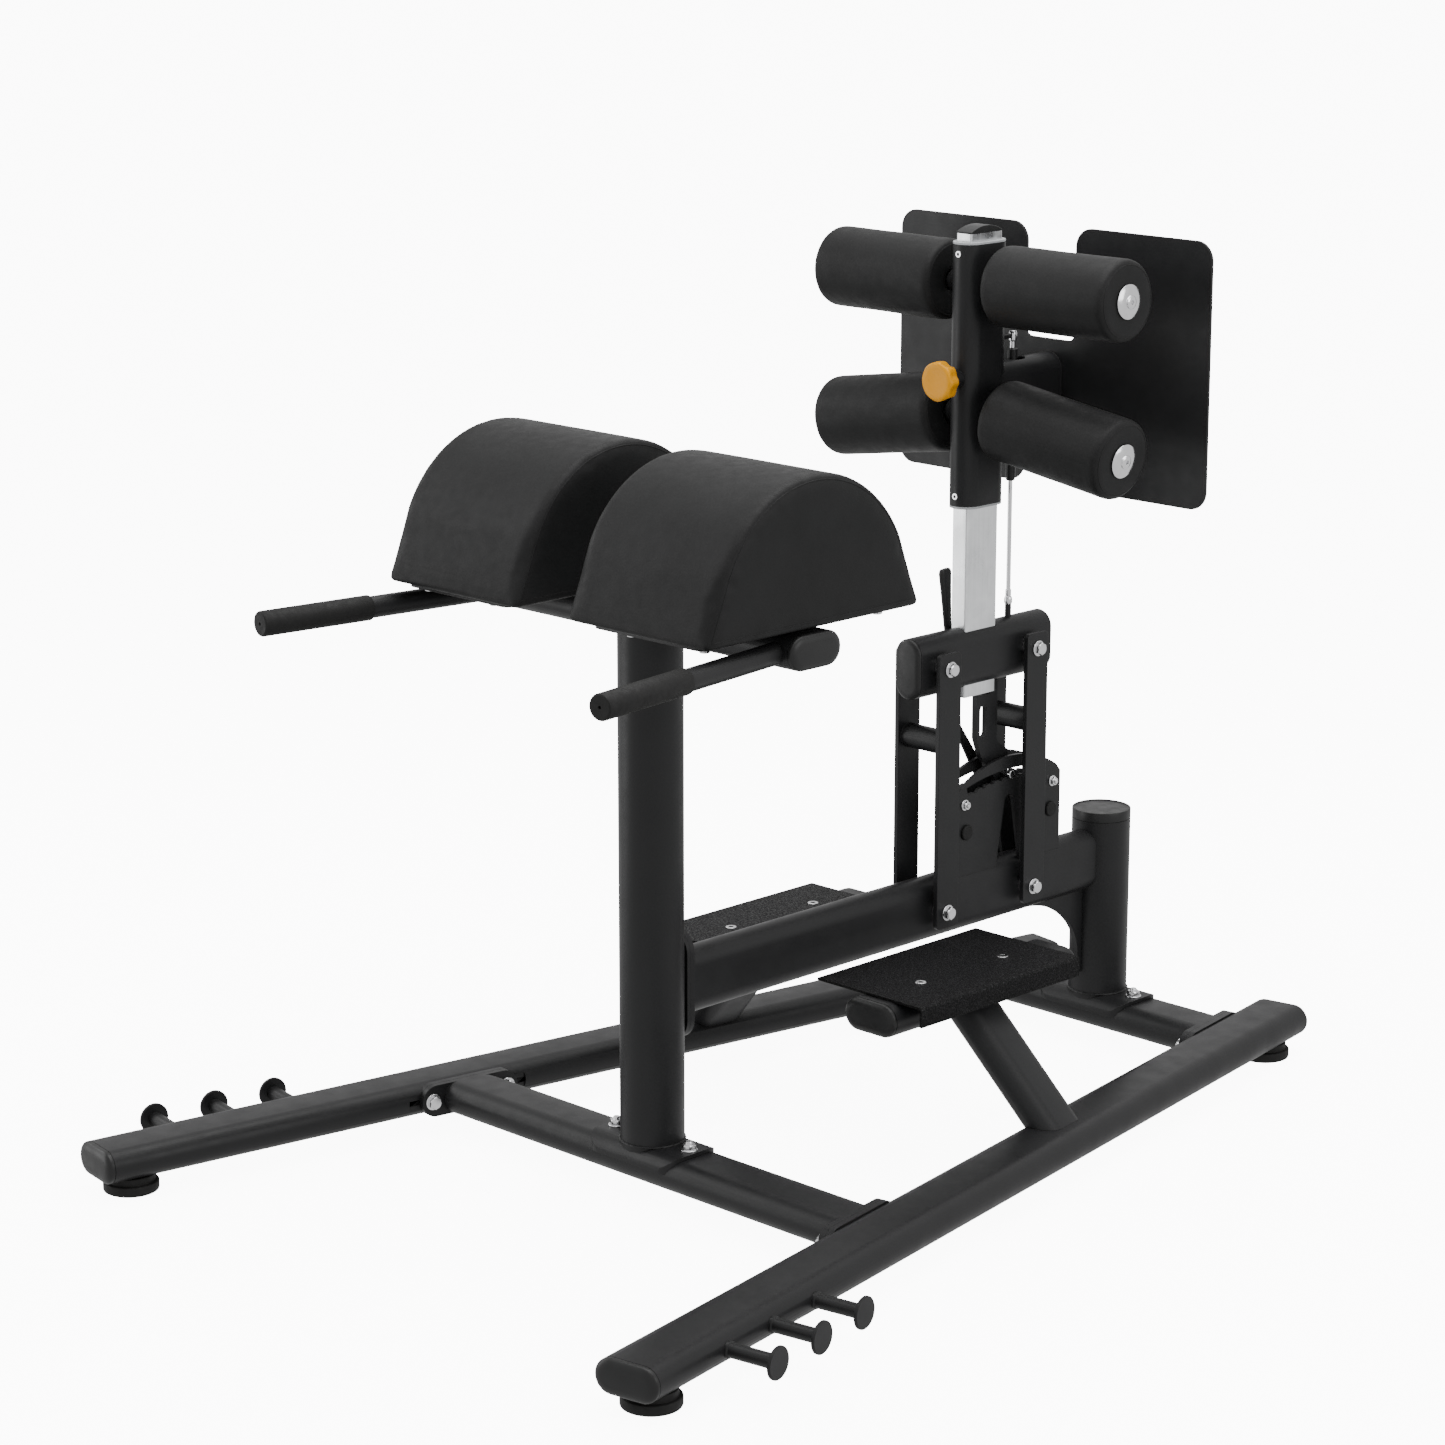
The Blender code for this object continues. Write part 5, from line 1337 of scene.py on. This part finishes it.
def lock_slot():
    """Curved slot along the path of the lock pin and of the lever's pivot beside it."""
    length = CARRIAGE_Z - BEAM_Z
    centre = (QUADRANT_Y, LOCK_Z - length)
    play = LOCK_PIN_RADIUS + LOCK_PLAY
    rear = math.pi / 2 - SWING_LIMIT - play / length
    front = math.pi / 2 + SWING_LIMIT + (play + LEVER_ARM) / length
    points = arc(centre, length + play + LOCK_LIFT, rear, front, 24)
    points += arc(centre, length - play, front, rear, 24)
    return points


def quadrant_outline():
    half = QUADRANT_HALF_LENGTH
    shoulder = half - 0.010
    start = math.acos(shoulder / QUADRANT_ARC_RADIUS)
    points = [(QUADRANT_Y - half, 0.345), (QUADRANT_Y + half, 0.345)]
    points.append((QUADRANT_Y + half, QUADRANT_SHOULDER_Z))
    centre = (QUADRANT_Y, QUADRANT_ARC_Z)
    points += arc(centre, QUADRANT_ARC_RADIUS, start, math.pi - start, 48)
    points.append((QUADRANT_Y - half, QUADRANT_SHOULDER_Z))
    return points


def window_outline():
    """Tapered window with a rounded top, open to the beam."""
    top = 0.452
    crown = arc((QUADRANT_Y, top), 0.010, math.radians(10), math.radians(170), 14)
    return [(QUADRANT_Y - 0.032, 0.33), (QUADRANT_Y + 0.032, 0.33)] + crown


def quadrant_plate(side, name):
    near = QUADRANT_INNER_X if side > 0 else -QUADRANT_INNER_X - QUADRANT_THICKNESS
    plate = across(quadrant_outline(), near, QUADRANT_THICKNESS)
    cut(plate, through(window_outline()), through(lock_slot()))
    for number in range(NOTCH_COUNT):
        turn = SWING_LIMIT * (2 * number / (NOTCH_COUNT - 1) - 1)
        cut(plate, through(circle(NOTCH_RADIUS, 24, swing_point(turn, NOTCH_DROP))))
    for reach in (-SPACER_REACH, SPACER_REACH):
        cut(plate, pivot_hole(QUADRANT_Y + reach, SPACER_Z, 0.0053))
    refine(cut(plate, beam_tube(0, GAP)), name + "_quadrant_plate", 0.0005)
    stops = []
    face = side * (QUADRANT_INNER_X + QUADRANT_THICKNESS)
    for reach in (-STOP_REACH, STOP_REACH):
        spot = Vector((face, QUADRANT_Y + reach, STOP_Z))
        stops.append(washer(spot, side * X_AXIS, 0.0122, 0.0042))
    place(gather(stops), name + "_quadrant_stops", "frame", "rubber_black", bevel=0.0004)


def spacer_bolt(reach, node):
    """Long bolt and spacer that hold the two quadrant plates apart."""
    y = QUADRANT_Y + reach
    inner = QUADRANT_INNER_X - GAP
    outer = QUADRANT_INNER_X + QUADRANT_THICKNESS + GAP
    parts = [rod((-outer, y, SPACER_Z), (outer, y, SPACER_Z), 0.0045, steps=24),
             rod((-inner, y, SPACER_Z), (inner, y, SPACER_Z), 0.0080)]
    for side in (1, -1):
        parts += hex_bolt((side * outer, y, SPACER_Z), side * X_AXIS, 0.0078, thread_end=True)
    place(gather(parts), node + "_fine", "frame", "chrome", (node,), 0.0003)


def lock_hanger():
    """Plate under the carriage that guides the lock pin and carries the lever's pivot."""
    top = CARRIAGE_Z - CARRIAGE_HEIGHT / 2 - 2 * GAP
    back = MAST_Y + MAST_DEPTH / 2 + GAP
    pin = QUADRANT_Y
    points = [
        (back, top), (back + 0.018, top), (back + 0.018, 0.548), (pin + 0.014, 0.530),
        (pin + 0.014, 0.488), (pin - 0.014, 0.484), (pin - 0.050, 0.528),
        (pin - 0.062, 0.560), (pin - 0.062, MAST_BOTTOM - 0.006), (back, MAST_BOTTOM - 0.006)]
    plate = across(points, -0.005, 0.010)
    head = -LEVER_X + LEVER_BAR / 2 + GAP
    rivet = [(0, 0), (RIVET_RADIUS, 0), (RIVET_RADIUS, head), (0.0050, head),
             (0.0047, head + 0.0010), (0.0035, head + 0.0015), (0, head + 0.0015)]
    join(plate, turned(rivet, frame_at((0, pin - LEVER_ARM, LOCK_Z + LEVER_RISE), -X_AXIS), 24))
    play = 2 * (LOCK_PIN_RADIUS + LOCK_PLAY)
    slot_start = frame_at((-CUT_REACH, pin, LOCK_Z + LOCK_LIFT / 2), X_AXIS)
    cut(plate, prism(oval(play, play + LOCK_LIFT), 2 * CUT_REACH, slot_start))
    cut(plate, through(rounded(0.016, 0.052, 0.008, (pin - 0.046, 0.585))))
    refine(plate, "lock_hanger", 0.0006)


def lock_pin():
    """Bright cross pin through the hanger and both plates, held by the lever."""
    tip = -LEVER_X - LEVER_BAR / 2 - GAP
    head = QUADRANT_INNER_X + QUADRANT_THICKNESS + 0.002
    profile = [
        (0, -head - 0.0045), (0.0058, -head - 0.0045), (0.0065, -head - 0.0038), (0.0065, -head),
        (LOCK_PIN_RADIUS, -head), (LOCK_PIN_RADIUS, tip), (0, tip)]
    refine(turned(profile, frame_at((0, QUADRANT_Y, LOCK_Z), -X_AXIS), 32), "lock_pin", 0.0002)


def lock_lever():
    """Hand lever beside the carriage: a bent flat bar with a tapered grip."""
    pin = QUADRANT_Y
    points = [
        (pin + 0.008, LOCK_Z - 0.007), (pin + 0.008, LOCK_Z + 0.007), (pin - 0.009, LOCK_Z + 0.010),
        (0.7030, 0.575), (0.6985, 0.640), (0.6765, 0.735), (0.6645, 0.735), (0.6880, 0.636),
        (0.6900, 0.572), (pin - LEVER_ARM - 0.009, LOCK_Z - 0.007)]
    lever = across(points, LEVER_X - LEVER_BAR / 2, LEVER_BAR)
    start = frame_at((LEVER_X, 0.6715, 0.728), (0, -0.09, 1))
    sections = [
        (oval(0.0095, 0.012), 0.0), (oval(0.0110, 0.013), 0.010), (oval(0.0113, 0.017), 0.050),
        (oval(0.0115, 0.022), 0.085), (oval(0.0115, 0.024), 0.096), (oval(0.0105, 0.0225), 0.100),
        (oval(0.008, 0.019), 0.103)]
    join(lever, stacked(sections, start))
    cut(lever, pivot_hole(pin - LEVER_ARM, LOCK_Z + LEVER_RISE, RIVET_RADIUS + AXLE_RUN_GAP))
    refine(lever, "lock_lever", 0.0004)


# ---------------------------------------------------------------- sleeve and rollers

def roller_line(side, z, drop):
    """Inner end and outward direction of a roller's axis."""
    line = Vector((side * math.cos(drop), 0, -math.sin(drop)))
    return Vector((side * ROLLER_START, MAST_Y, z)), line


ROLLERS = (
    ("upper_right", 1, UPPER_ROLLER_Z, 0.0), ("upper_left", -1, UPPER_ROLLER_Z, 0.0),
    ("lower_right", 1, LOWER_ROLLER_Z, LOWER_ROLLER_DROP),
    ("lower_left", -1, LOWER_ROLLER_Z, LOWER_ROLLER_DROP))


def sleeve_tube(wall, grow=0.0):
    start = (0, MAST_Y, SLEEVE_BOTTOM)
    return oval_tube(start, (0, MAST_Y, SLEEVE_TOP), SLEEVE_WIDTH, SLEEVE_DEPTH, wall, grow)


def sleeve():
    tube = sleeve_tube(WALL)
    for _, side, z, drop in ROLLERS:
        root, line = roller_line(side, z, drop)
        begin = root - line * (ROLLER_START - SLEEVE_WIDTH / 2 + BITE)
        join(tube, rod(begin, root + line * (ROLLER_LENGTH - 0.008), STUB_RADIUS))
        join(tube, rod(begin, root - line * 0.003, 0.019))
    front = MAST_Y - SLEEVE_DEPTH / 2
    boss_end = Vector((0, front + BITE, KNOB_Z))
    join(tube, rod((0, front - 0.016, KNOB_Z), boss_end, 0.014))
    cut(tube, rod((0, front - 0.03, KNOB_Z), (0, front + 0.006, KNOB_Z), 0.0066))
    rear = MAST_Y + SLEEVE_DEPTH / 2
    stud_end = Vector((0, SPRING_Y - 0.0068, SPRING_EYE_Z))
    join(tube, rod((0, rear - BITE, SPRING_EYE_Z), stud_end, 0.004))
    refine(tube, "sleeve")
    parts = []
    for z in (SLEEVE_TOP - 0.014, SLEEVE_BOTTOM + 0.015):
        parts += countersunk((0, front, z), -Y_AXIS, 0.0052)
        parts += countersunk((0, rear, z), Y_AXIS, 0.0052)
    bolts(parts, "sleeve_screws", "sleeve")


def bush(z, out, node):
    """Plastic liner ring between the sleeve and the mast, with a thin rim."""
    inner = rounded(MAST_WIDTH + 0.0012, MAST_DEPTH + 0.0012, 0.0034)
    at = frame_at((0, MAST_Y, z + out * GAP), (0, 0, out))
    rim = prism(oval(SLEEVE_WIDTH, SLEEVE_DEPTH), 0.0035, at, inner)
    back = frame_at((0, MAST_Y, z + out * (GAP + 0.0010)), (0, 0, -out))
    body = prism(oval(SLEEVE_WIDTH, SLEEVE_DEPTH, -WALL - GAP), BUSH_LENGTH, back, inner)
    refine(join(rim, body), node, 0.0005)


ROLLER_SHRINK = 0.0015
CAP_PROFILE = (
    (0, 0), (0.0257, 0), (0.0262, 0.0006), (0.0259, 0.0013), (0.0235, 0.0025), (0.0200, 0.0037),
    (0.0160, 0.0045), (0.0118, 0.0049), (0.0106, 0.0048), (0.0104, 0.0052), (0.0100, 0.0064),
    (0.0088, 0.0073), (0.0060, 0.0078), (0, 0.0078))


def roller_mesh():
    """Padded roller about +Z, from its inner end at 0: a swollen cover with round edges."""
    edge = ROLLER_EDGE
    outer = ROLLER_RADIUS - ROLLER_SHRINK
    low = ROLLER_SHRINK * 0.7
    high = ROLLER_LENGTH - ROLLER_SHRINK * 0.7
    profile = [(ROLLER_BORE + 0.002, low)]
    profile += arc((outer - edge, low + edge), edge, -math.pi / 2, 0, 6)
    profile += arc((outer - edge, high - edge), edge, 0, math.pi / 2, 6)
    profile.append((ROLLER_BORE + 0.002, high))
    item = turned(profile, Matrix(), 72, closed=True)
    remeshed(item, COVER_VOXEL)
    swollen(item, COVER_PRESSURE, ROLLER_REACH,
            held=lambda co: math.hypot(co.x, co.y) < ROLLER_BORE + 0.006)
    return subdivided(calmed(item, 5))


def rollers():
    base = roller_mesh()
    for number, (name, side, z, drop) in enumerate(ROLLERS):
        root, line = roller_line(side, z, drop)
        at = frame_at(root, line) @ Matrix.Rotation(0.9 * number, 4, "Z")
        mesh = base.data.copy()
        rippled(mesh, 13, 0.0005, number * 7.0)
        mesh.transform(at)
        node = name + "_roller"
        rim = circle(ROLLER_RADIUS * 0.86, 120)
        rims = [(end, [at @ Vector((x, y, height)) for x, y in rim])
                for height, end in ((ROLLER_LENGTH, "outer"), (0.0, "inner"))]
        cover(mesh, node, rims, 0.0010)
        face = frame_at(root + line * (ROLLER_LENGTH + GAP), line)
        socket = prism(hexagon(0.0066, 0.0045), 0.01, face @ Matrix.Translation((0, 0, 0.0040)))
        refine(cut(turned(CAP_PROFILE, face, 48), socket), node + "_cap", 0.0002)
    bpy.data.objects.remove(base)


def plate_outline(side):
    """Foot board with large outer corners."""
    width = PLATE_OUTER_X - PLATE_INNER_X
    height = PLATE_TOP - PLATE_BOTTOM
    centre = (side * (PLATE_OUTER_X + PLATE_INNER_X) / 2, (PLATE_TOP + PLATE_BOTTOM) / 2)
    return rounded(width, height, PLATE_CORNER, centre, 14)


def foot_plate():
    """Two foot boards joined by a web, on an arm from the sleeve."""
    face = frame_at((0, PLATE_FACE_Y + PLATE_THICKNESS, 0), -Y_AXIS)
    reach = PLATE_INNER_X + 0.030
    low = WEB_BOTTOM - NOTCH_CORNER
    high = WEB_TOP + NOTCH_CORNER
    plate = prism([(-reach, low), (reach, low), (reach, high), (-reach, high)], PLATE_THICKNESS, face)
    for side in (1, -1):
        join(plate, prism(plate_outline(side), PLATE_THICKNESS, face))
    height = PLATE_TOP - PLATE_BOTTOM
    for middle_z in (WEB_TOP + height / 2, WEB_BOTTOM - height / 2):
        notch = rounded(2 * PLATE_INNER_X, height, NOTCH_CORNER, (0, middle_z))
        notch_start = face @ Matrix.Translation((0, 0, -PLATE_THICKNESS))
        cut(plate, prism(notch, 3 * PLATE_THICKNESS, notch_start))
    arm_end = (0, PLATE_FACE_Y + BITE, ARM_Z)
    arm = cut(oval_tube((0, MAST_Y, ARM_Z), arm_end, SLEEVE_WIDTH, SLEEVE_DEPTH), sleeve_tube(0, GAP))
    slot = prism(oval(0.021, 0.036), 0.2, frame_at((0, SPRING_Y + 0.006, ARM_Z - 0.1), Z_AXIS))
    refine(join(cut(arm, slot), plate), "foot_plate", 0.0007)


# ---------------------------------------------------------------- height pin and gas spring

def height_pin():
    """Lobed knob with a dished face, on a black neck."""
    steps = KNOB_LOBES * 16
    turns = [2 * math.pi * step / steps for step in range(steps)]

    def lobed(scale, depth=1.0):
        radii = [scale * (KNOB_RADIUS + depth * KNOB_LOBE * math.cos(KNOB_LOBES * a)) for a in turns]
        return [(r * math.cos(a), r * math.sin(a)) for r, a in zip(radii, turns)]

    at = frame_at((0, KNOB_FACE_Y, KNOB_Z), Y_AXIS)
    sections = [
        (lobed(0.70, 0.0), 0.0010), (lobed(0.90, 0.0), 0.0004), (lobed(0.985, 0.0), 0.0012),
        (lobed(1.035, 0.15), 0.0030), (lobed(1.045, 0.5), 0.0052), (lobed(1.03, 0.9), 0.0075),
        (lobed(1.0, 1.2), 0.0105), (lobed(0.985, 1.3), KNOB_LENGTH * 0.68),
        (lobed(0.96, 1.2), KNOB_LENGTH * 0.82), (lobed(0.90, 0.8), KNOB_LENGTH * 0.92),
        (lobed(0.74, 0.3), KNOB_LENGTH * 0.985), (lobed(0.52, 0.0), KNOB_LENGTH)]
    knob = stacked(sections, at)
    place(knob, "height_pin_knob_fine", "height_pin", "amber_plastic", ("height_pin_knob",), 0)
    front = MAST_Y - SLEEVE_DEPTH / 2
    neck_end = front - 0.016 - GAP - KNOB_FACE_Y
    shaft_end = MAST_Y - MAST_DEPTH / 2 - 0.0015 - KNOB_FACE_Y
    profile = [
        (0, KNOB_LENGTH - BITE), (0.0115, KNOB_LENGTH - BITE), (0.0115, neck_end - 0.0005),
        (0.006, neck_end - 0.0005), (0.006, shaft_end), (0.003, shaft_end),
        (0.003, shaft_end + 0.0065), (0, shaft_end + 0.0065)]
    place(turned(profile, at, 40), "height_pin_shaft", "height_pin", "plastic_black", bevel=0.0004)


def gas_spring():
    """Damper behind the sleeve: cylinder, top fitting, and a rod with its lower fitting."""
    bore = ROD_RADIUS + 0.0007
    high = SPRING_TOP - SPRING_BOTTOM
    wall = inset(SPRING_RADIUS, (
        (0.0022, 0), (0.0010, 0.0004), (0.0008, 0.0030), (0, 0.0040), (0, high - 0.0020),
        (0.0016, high - 0.0004), (0.003, high)))
    profile = [(bore, 0)] + wall + [(0, high), (0, high - 0.010), (bore, high - 0.010)]
    at = Matrix.Translation((0, SPRING_Y, SPRING_BOTTOM))
    place(turned(profile, at, 40, closed=True), "gas_spring_cylinder_fine", "sleeve", "plastic_black",
          ("gas_spring_cylinder",), 0)
    low = SPRING_TOP - SPRING_EYE_Z
    neck = [
        (0, low), (0.0042, low), (0.0042, -0.009), (0.0060, -0.007), (0.0064, -0.003),
        (0.0064, 0.003), (0.0060, 0.006), (0.0045, 0.008), (0, 0.008)]
    at = Matrix.Translation((0, SPRING_Y, SPRING_EYE_Z))
    place(turned(neck, at, 32), "gas_spring_top_fitting", "sleeve", "chrome", bevel=0.0002)
    end = SPRING_BOTTOM + 0.016 - ROD_BOTTOM
    shaft = [
        (0, 0), (0.0050, 0), (0.0064, 0.0030), (0.0066, 0.0070), (0.0060, 0.0110),
        (0.0042, 0.0140), (0.0046, 0.0150), (0.0046, 0.0230), (ROD_RADIUS, 0.0245),
        (ROD_RADIUS, end), (0, end)]
    refine(turned(shaft, Matrix.Translation((0, SPRING_Y, ROD_BOTTOM)), 32), "gas_spring_rod", 0.0002)


# ---------------------------------------------------------------- build

def build_base():
    for side, name in SIDES:
        rail(side, name)
        foot(FRONT_FOOT.y, side, name + "_front_foot")
        foot(REAR_FOOT.y, side, name + "_rear_foot")
    cross_member(FRONT_POST_Y, "front_cross_member")
    cross_member(REAR_POST_Y, "rear_cross_member")
    front_upright()
    rear_upright()
    main_beam()
    for side, name in SIDES:
        step_bracket(side, name)
        step_plate(side, name)


def build_swing():
    link(FRONT_PIVOT_Y, "front_link")
    link(REAR_PIVOT_Y, "rear_link")
    for y, where in ((FRONT_PIVOT_Y, "front"), (REAR_PIVOT_Y, "rear")):
        pivot_axle(y, BEAM_Z, where + "_lower_axle")
        pivot_axle(y, CARRIAGE_Z, where + "_upper_axle")
    carriage()
    mast()
    quadrant_plate(1, "right")
    quadrant_plate(-1, "left")
    spacer_bolt(-SPACER_REACH, "front_spacer_bolt")
    spacer_bolt(SPACER_REACH, "rear_spacer_bolt")
    lock_hanger()
    lock_pin()
    lock_lever()


def build_sleeve():
    sleeve()
    bush(SLEEVE_TOP, 1, "upper_bush")
    bush(SLEEVE_BOTTOM, -1, "lower_bush")
    rollers()
    foot_plate()
    height_pin()
    gas_spring()


# ---------------------------------------------------------------- studio

FLOOR_HALF = 80.0


def studio_floor():
    bm = bmesh.new()
    bmesh.ops.create_grid(bm, x_segments=1, y_segments=1, size=FLOOR_HALF)
    item = solid(bm)
    item.name = "studio_floor"
    item.data.materials.append(pale_floor())
    item.visible_diffuse = False
    item.visible_glossy = False


def area_light(name, spot, target, size, power):
    data = bpy.data.lights.new(name, "AREA")
    data.shape = "RECTANGLE"
    data.size = size[0]
    data.size_y = size[1]
    data.energy = power
    item = bpy.data.objects.new(name, data)
    item.matrix_world = frame_at(spot, Vector(spot) - Vector(target), Y_AXIS)
    item.visible_camera = False
    bpy.context.scene.collection.objects.link(item)


def studio_lights():
    world = bpy.data.worlds.new("studio")
    bpy.context.scene.world = world
    world.use_nodes = True
    tree = world.node_tree
    sky = tree.nodes["Background"]
    sky.inputs["Color"].default_value = (1.0, 1.0, 1.0, 1.0)
    path = tree.nodes.new("ShaderNodeLightPath")
    glow = tree.nodes.new("ShaderNodeMapRange")
    glow.inputs["To Min"].default_value = SKY_GLOW
    glow.inputs["To Max"].default_value = BACKDROP_GLOW
    tree.links.new(path.outputs["Is Camera Ray"], glow.inputs["Value"])
    tree.links.new(glow.outputs["Result"], sky.inputs["Strength"])
    area_light("overhead", (0.2, 0.1, 3.4), (0, 0.1, 0.5), (3.2, 3.2), 120)
    area_light("right_softbox", (3.6, 0.8, 2.0), (0, 0.1, 0.7), (1.6, 2.4), 35)
    area_light("left_softbox", (-3.2, -1.6, 2.2), (0, 0, 0.7), (1.4, 2.4), 35)
    area_light("front_card", (-2.6, -2.3, 0.5), (0, 0.3, 0.6), (1.5, 1.3), 20)


def studio_camera():
    data = bpy.data.cameras.new("camera")
    data.lens = 98.92
    data.sensor_width = 36.0
    data.clip_end = 300
    item = bpy.data.objects.new("camera", data)
    item.location = BENCH @ Vector((3.9513, -3.8225, 2.0898))
    item.rotation_euler = (math.radians(75.91), 0, math.radians(44.88))
    bpy.context.scene.collection.objects.link(item)
    bpy.context.scene.camera = item


studio_camera()
studio_lights()
studio_floor()
build_base()
handle_crossbar()
pads()
build_swing()
build_sleeve()
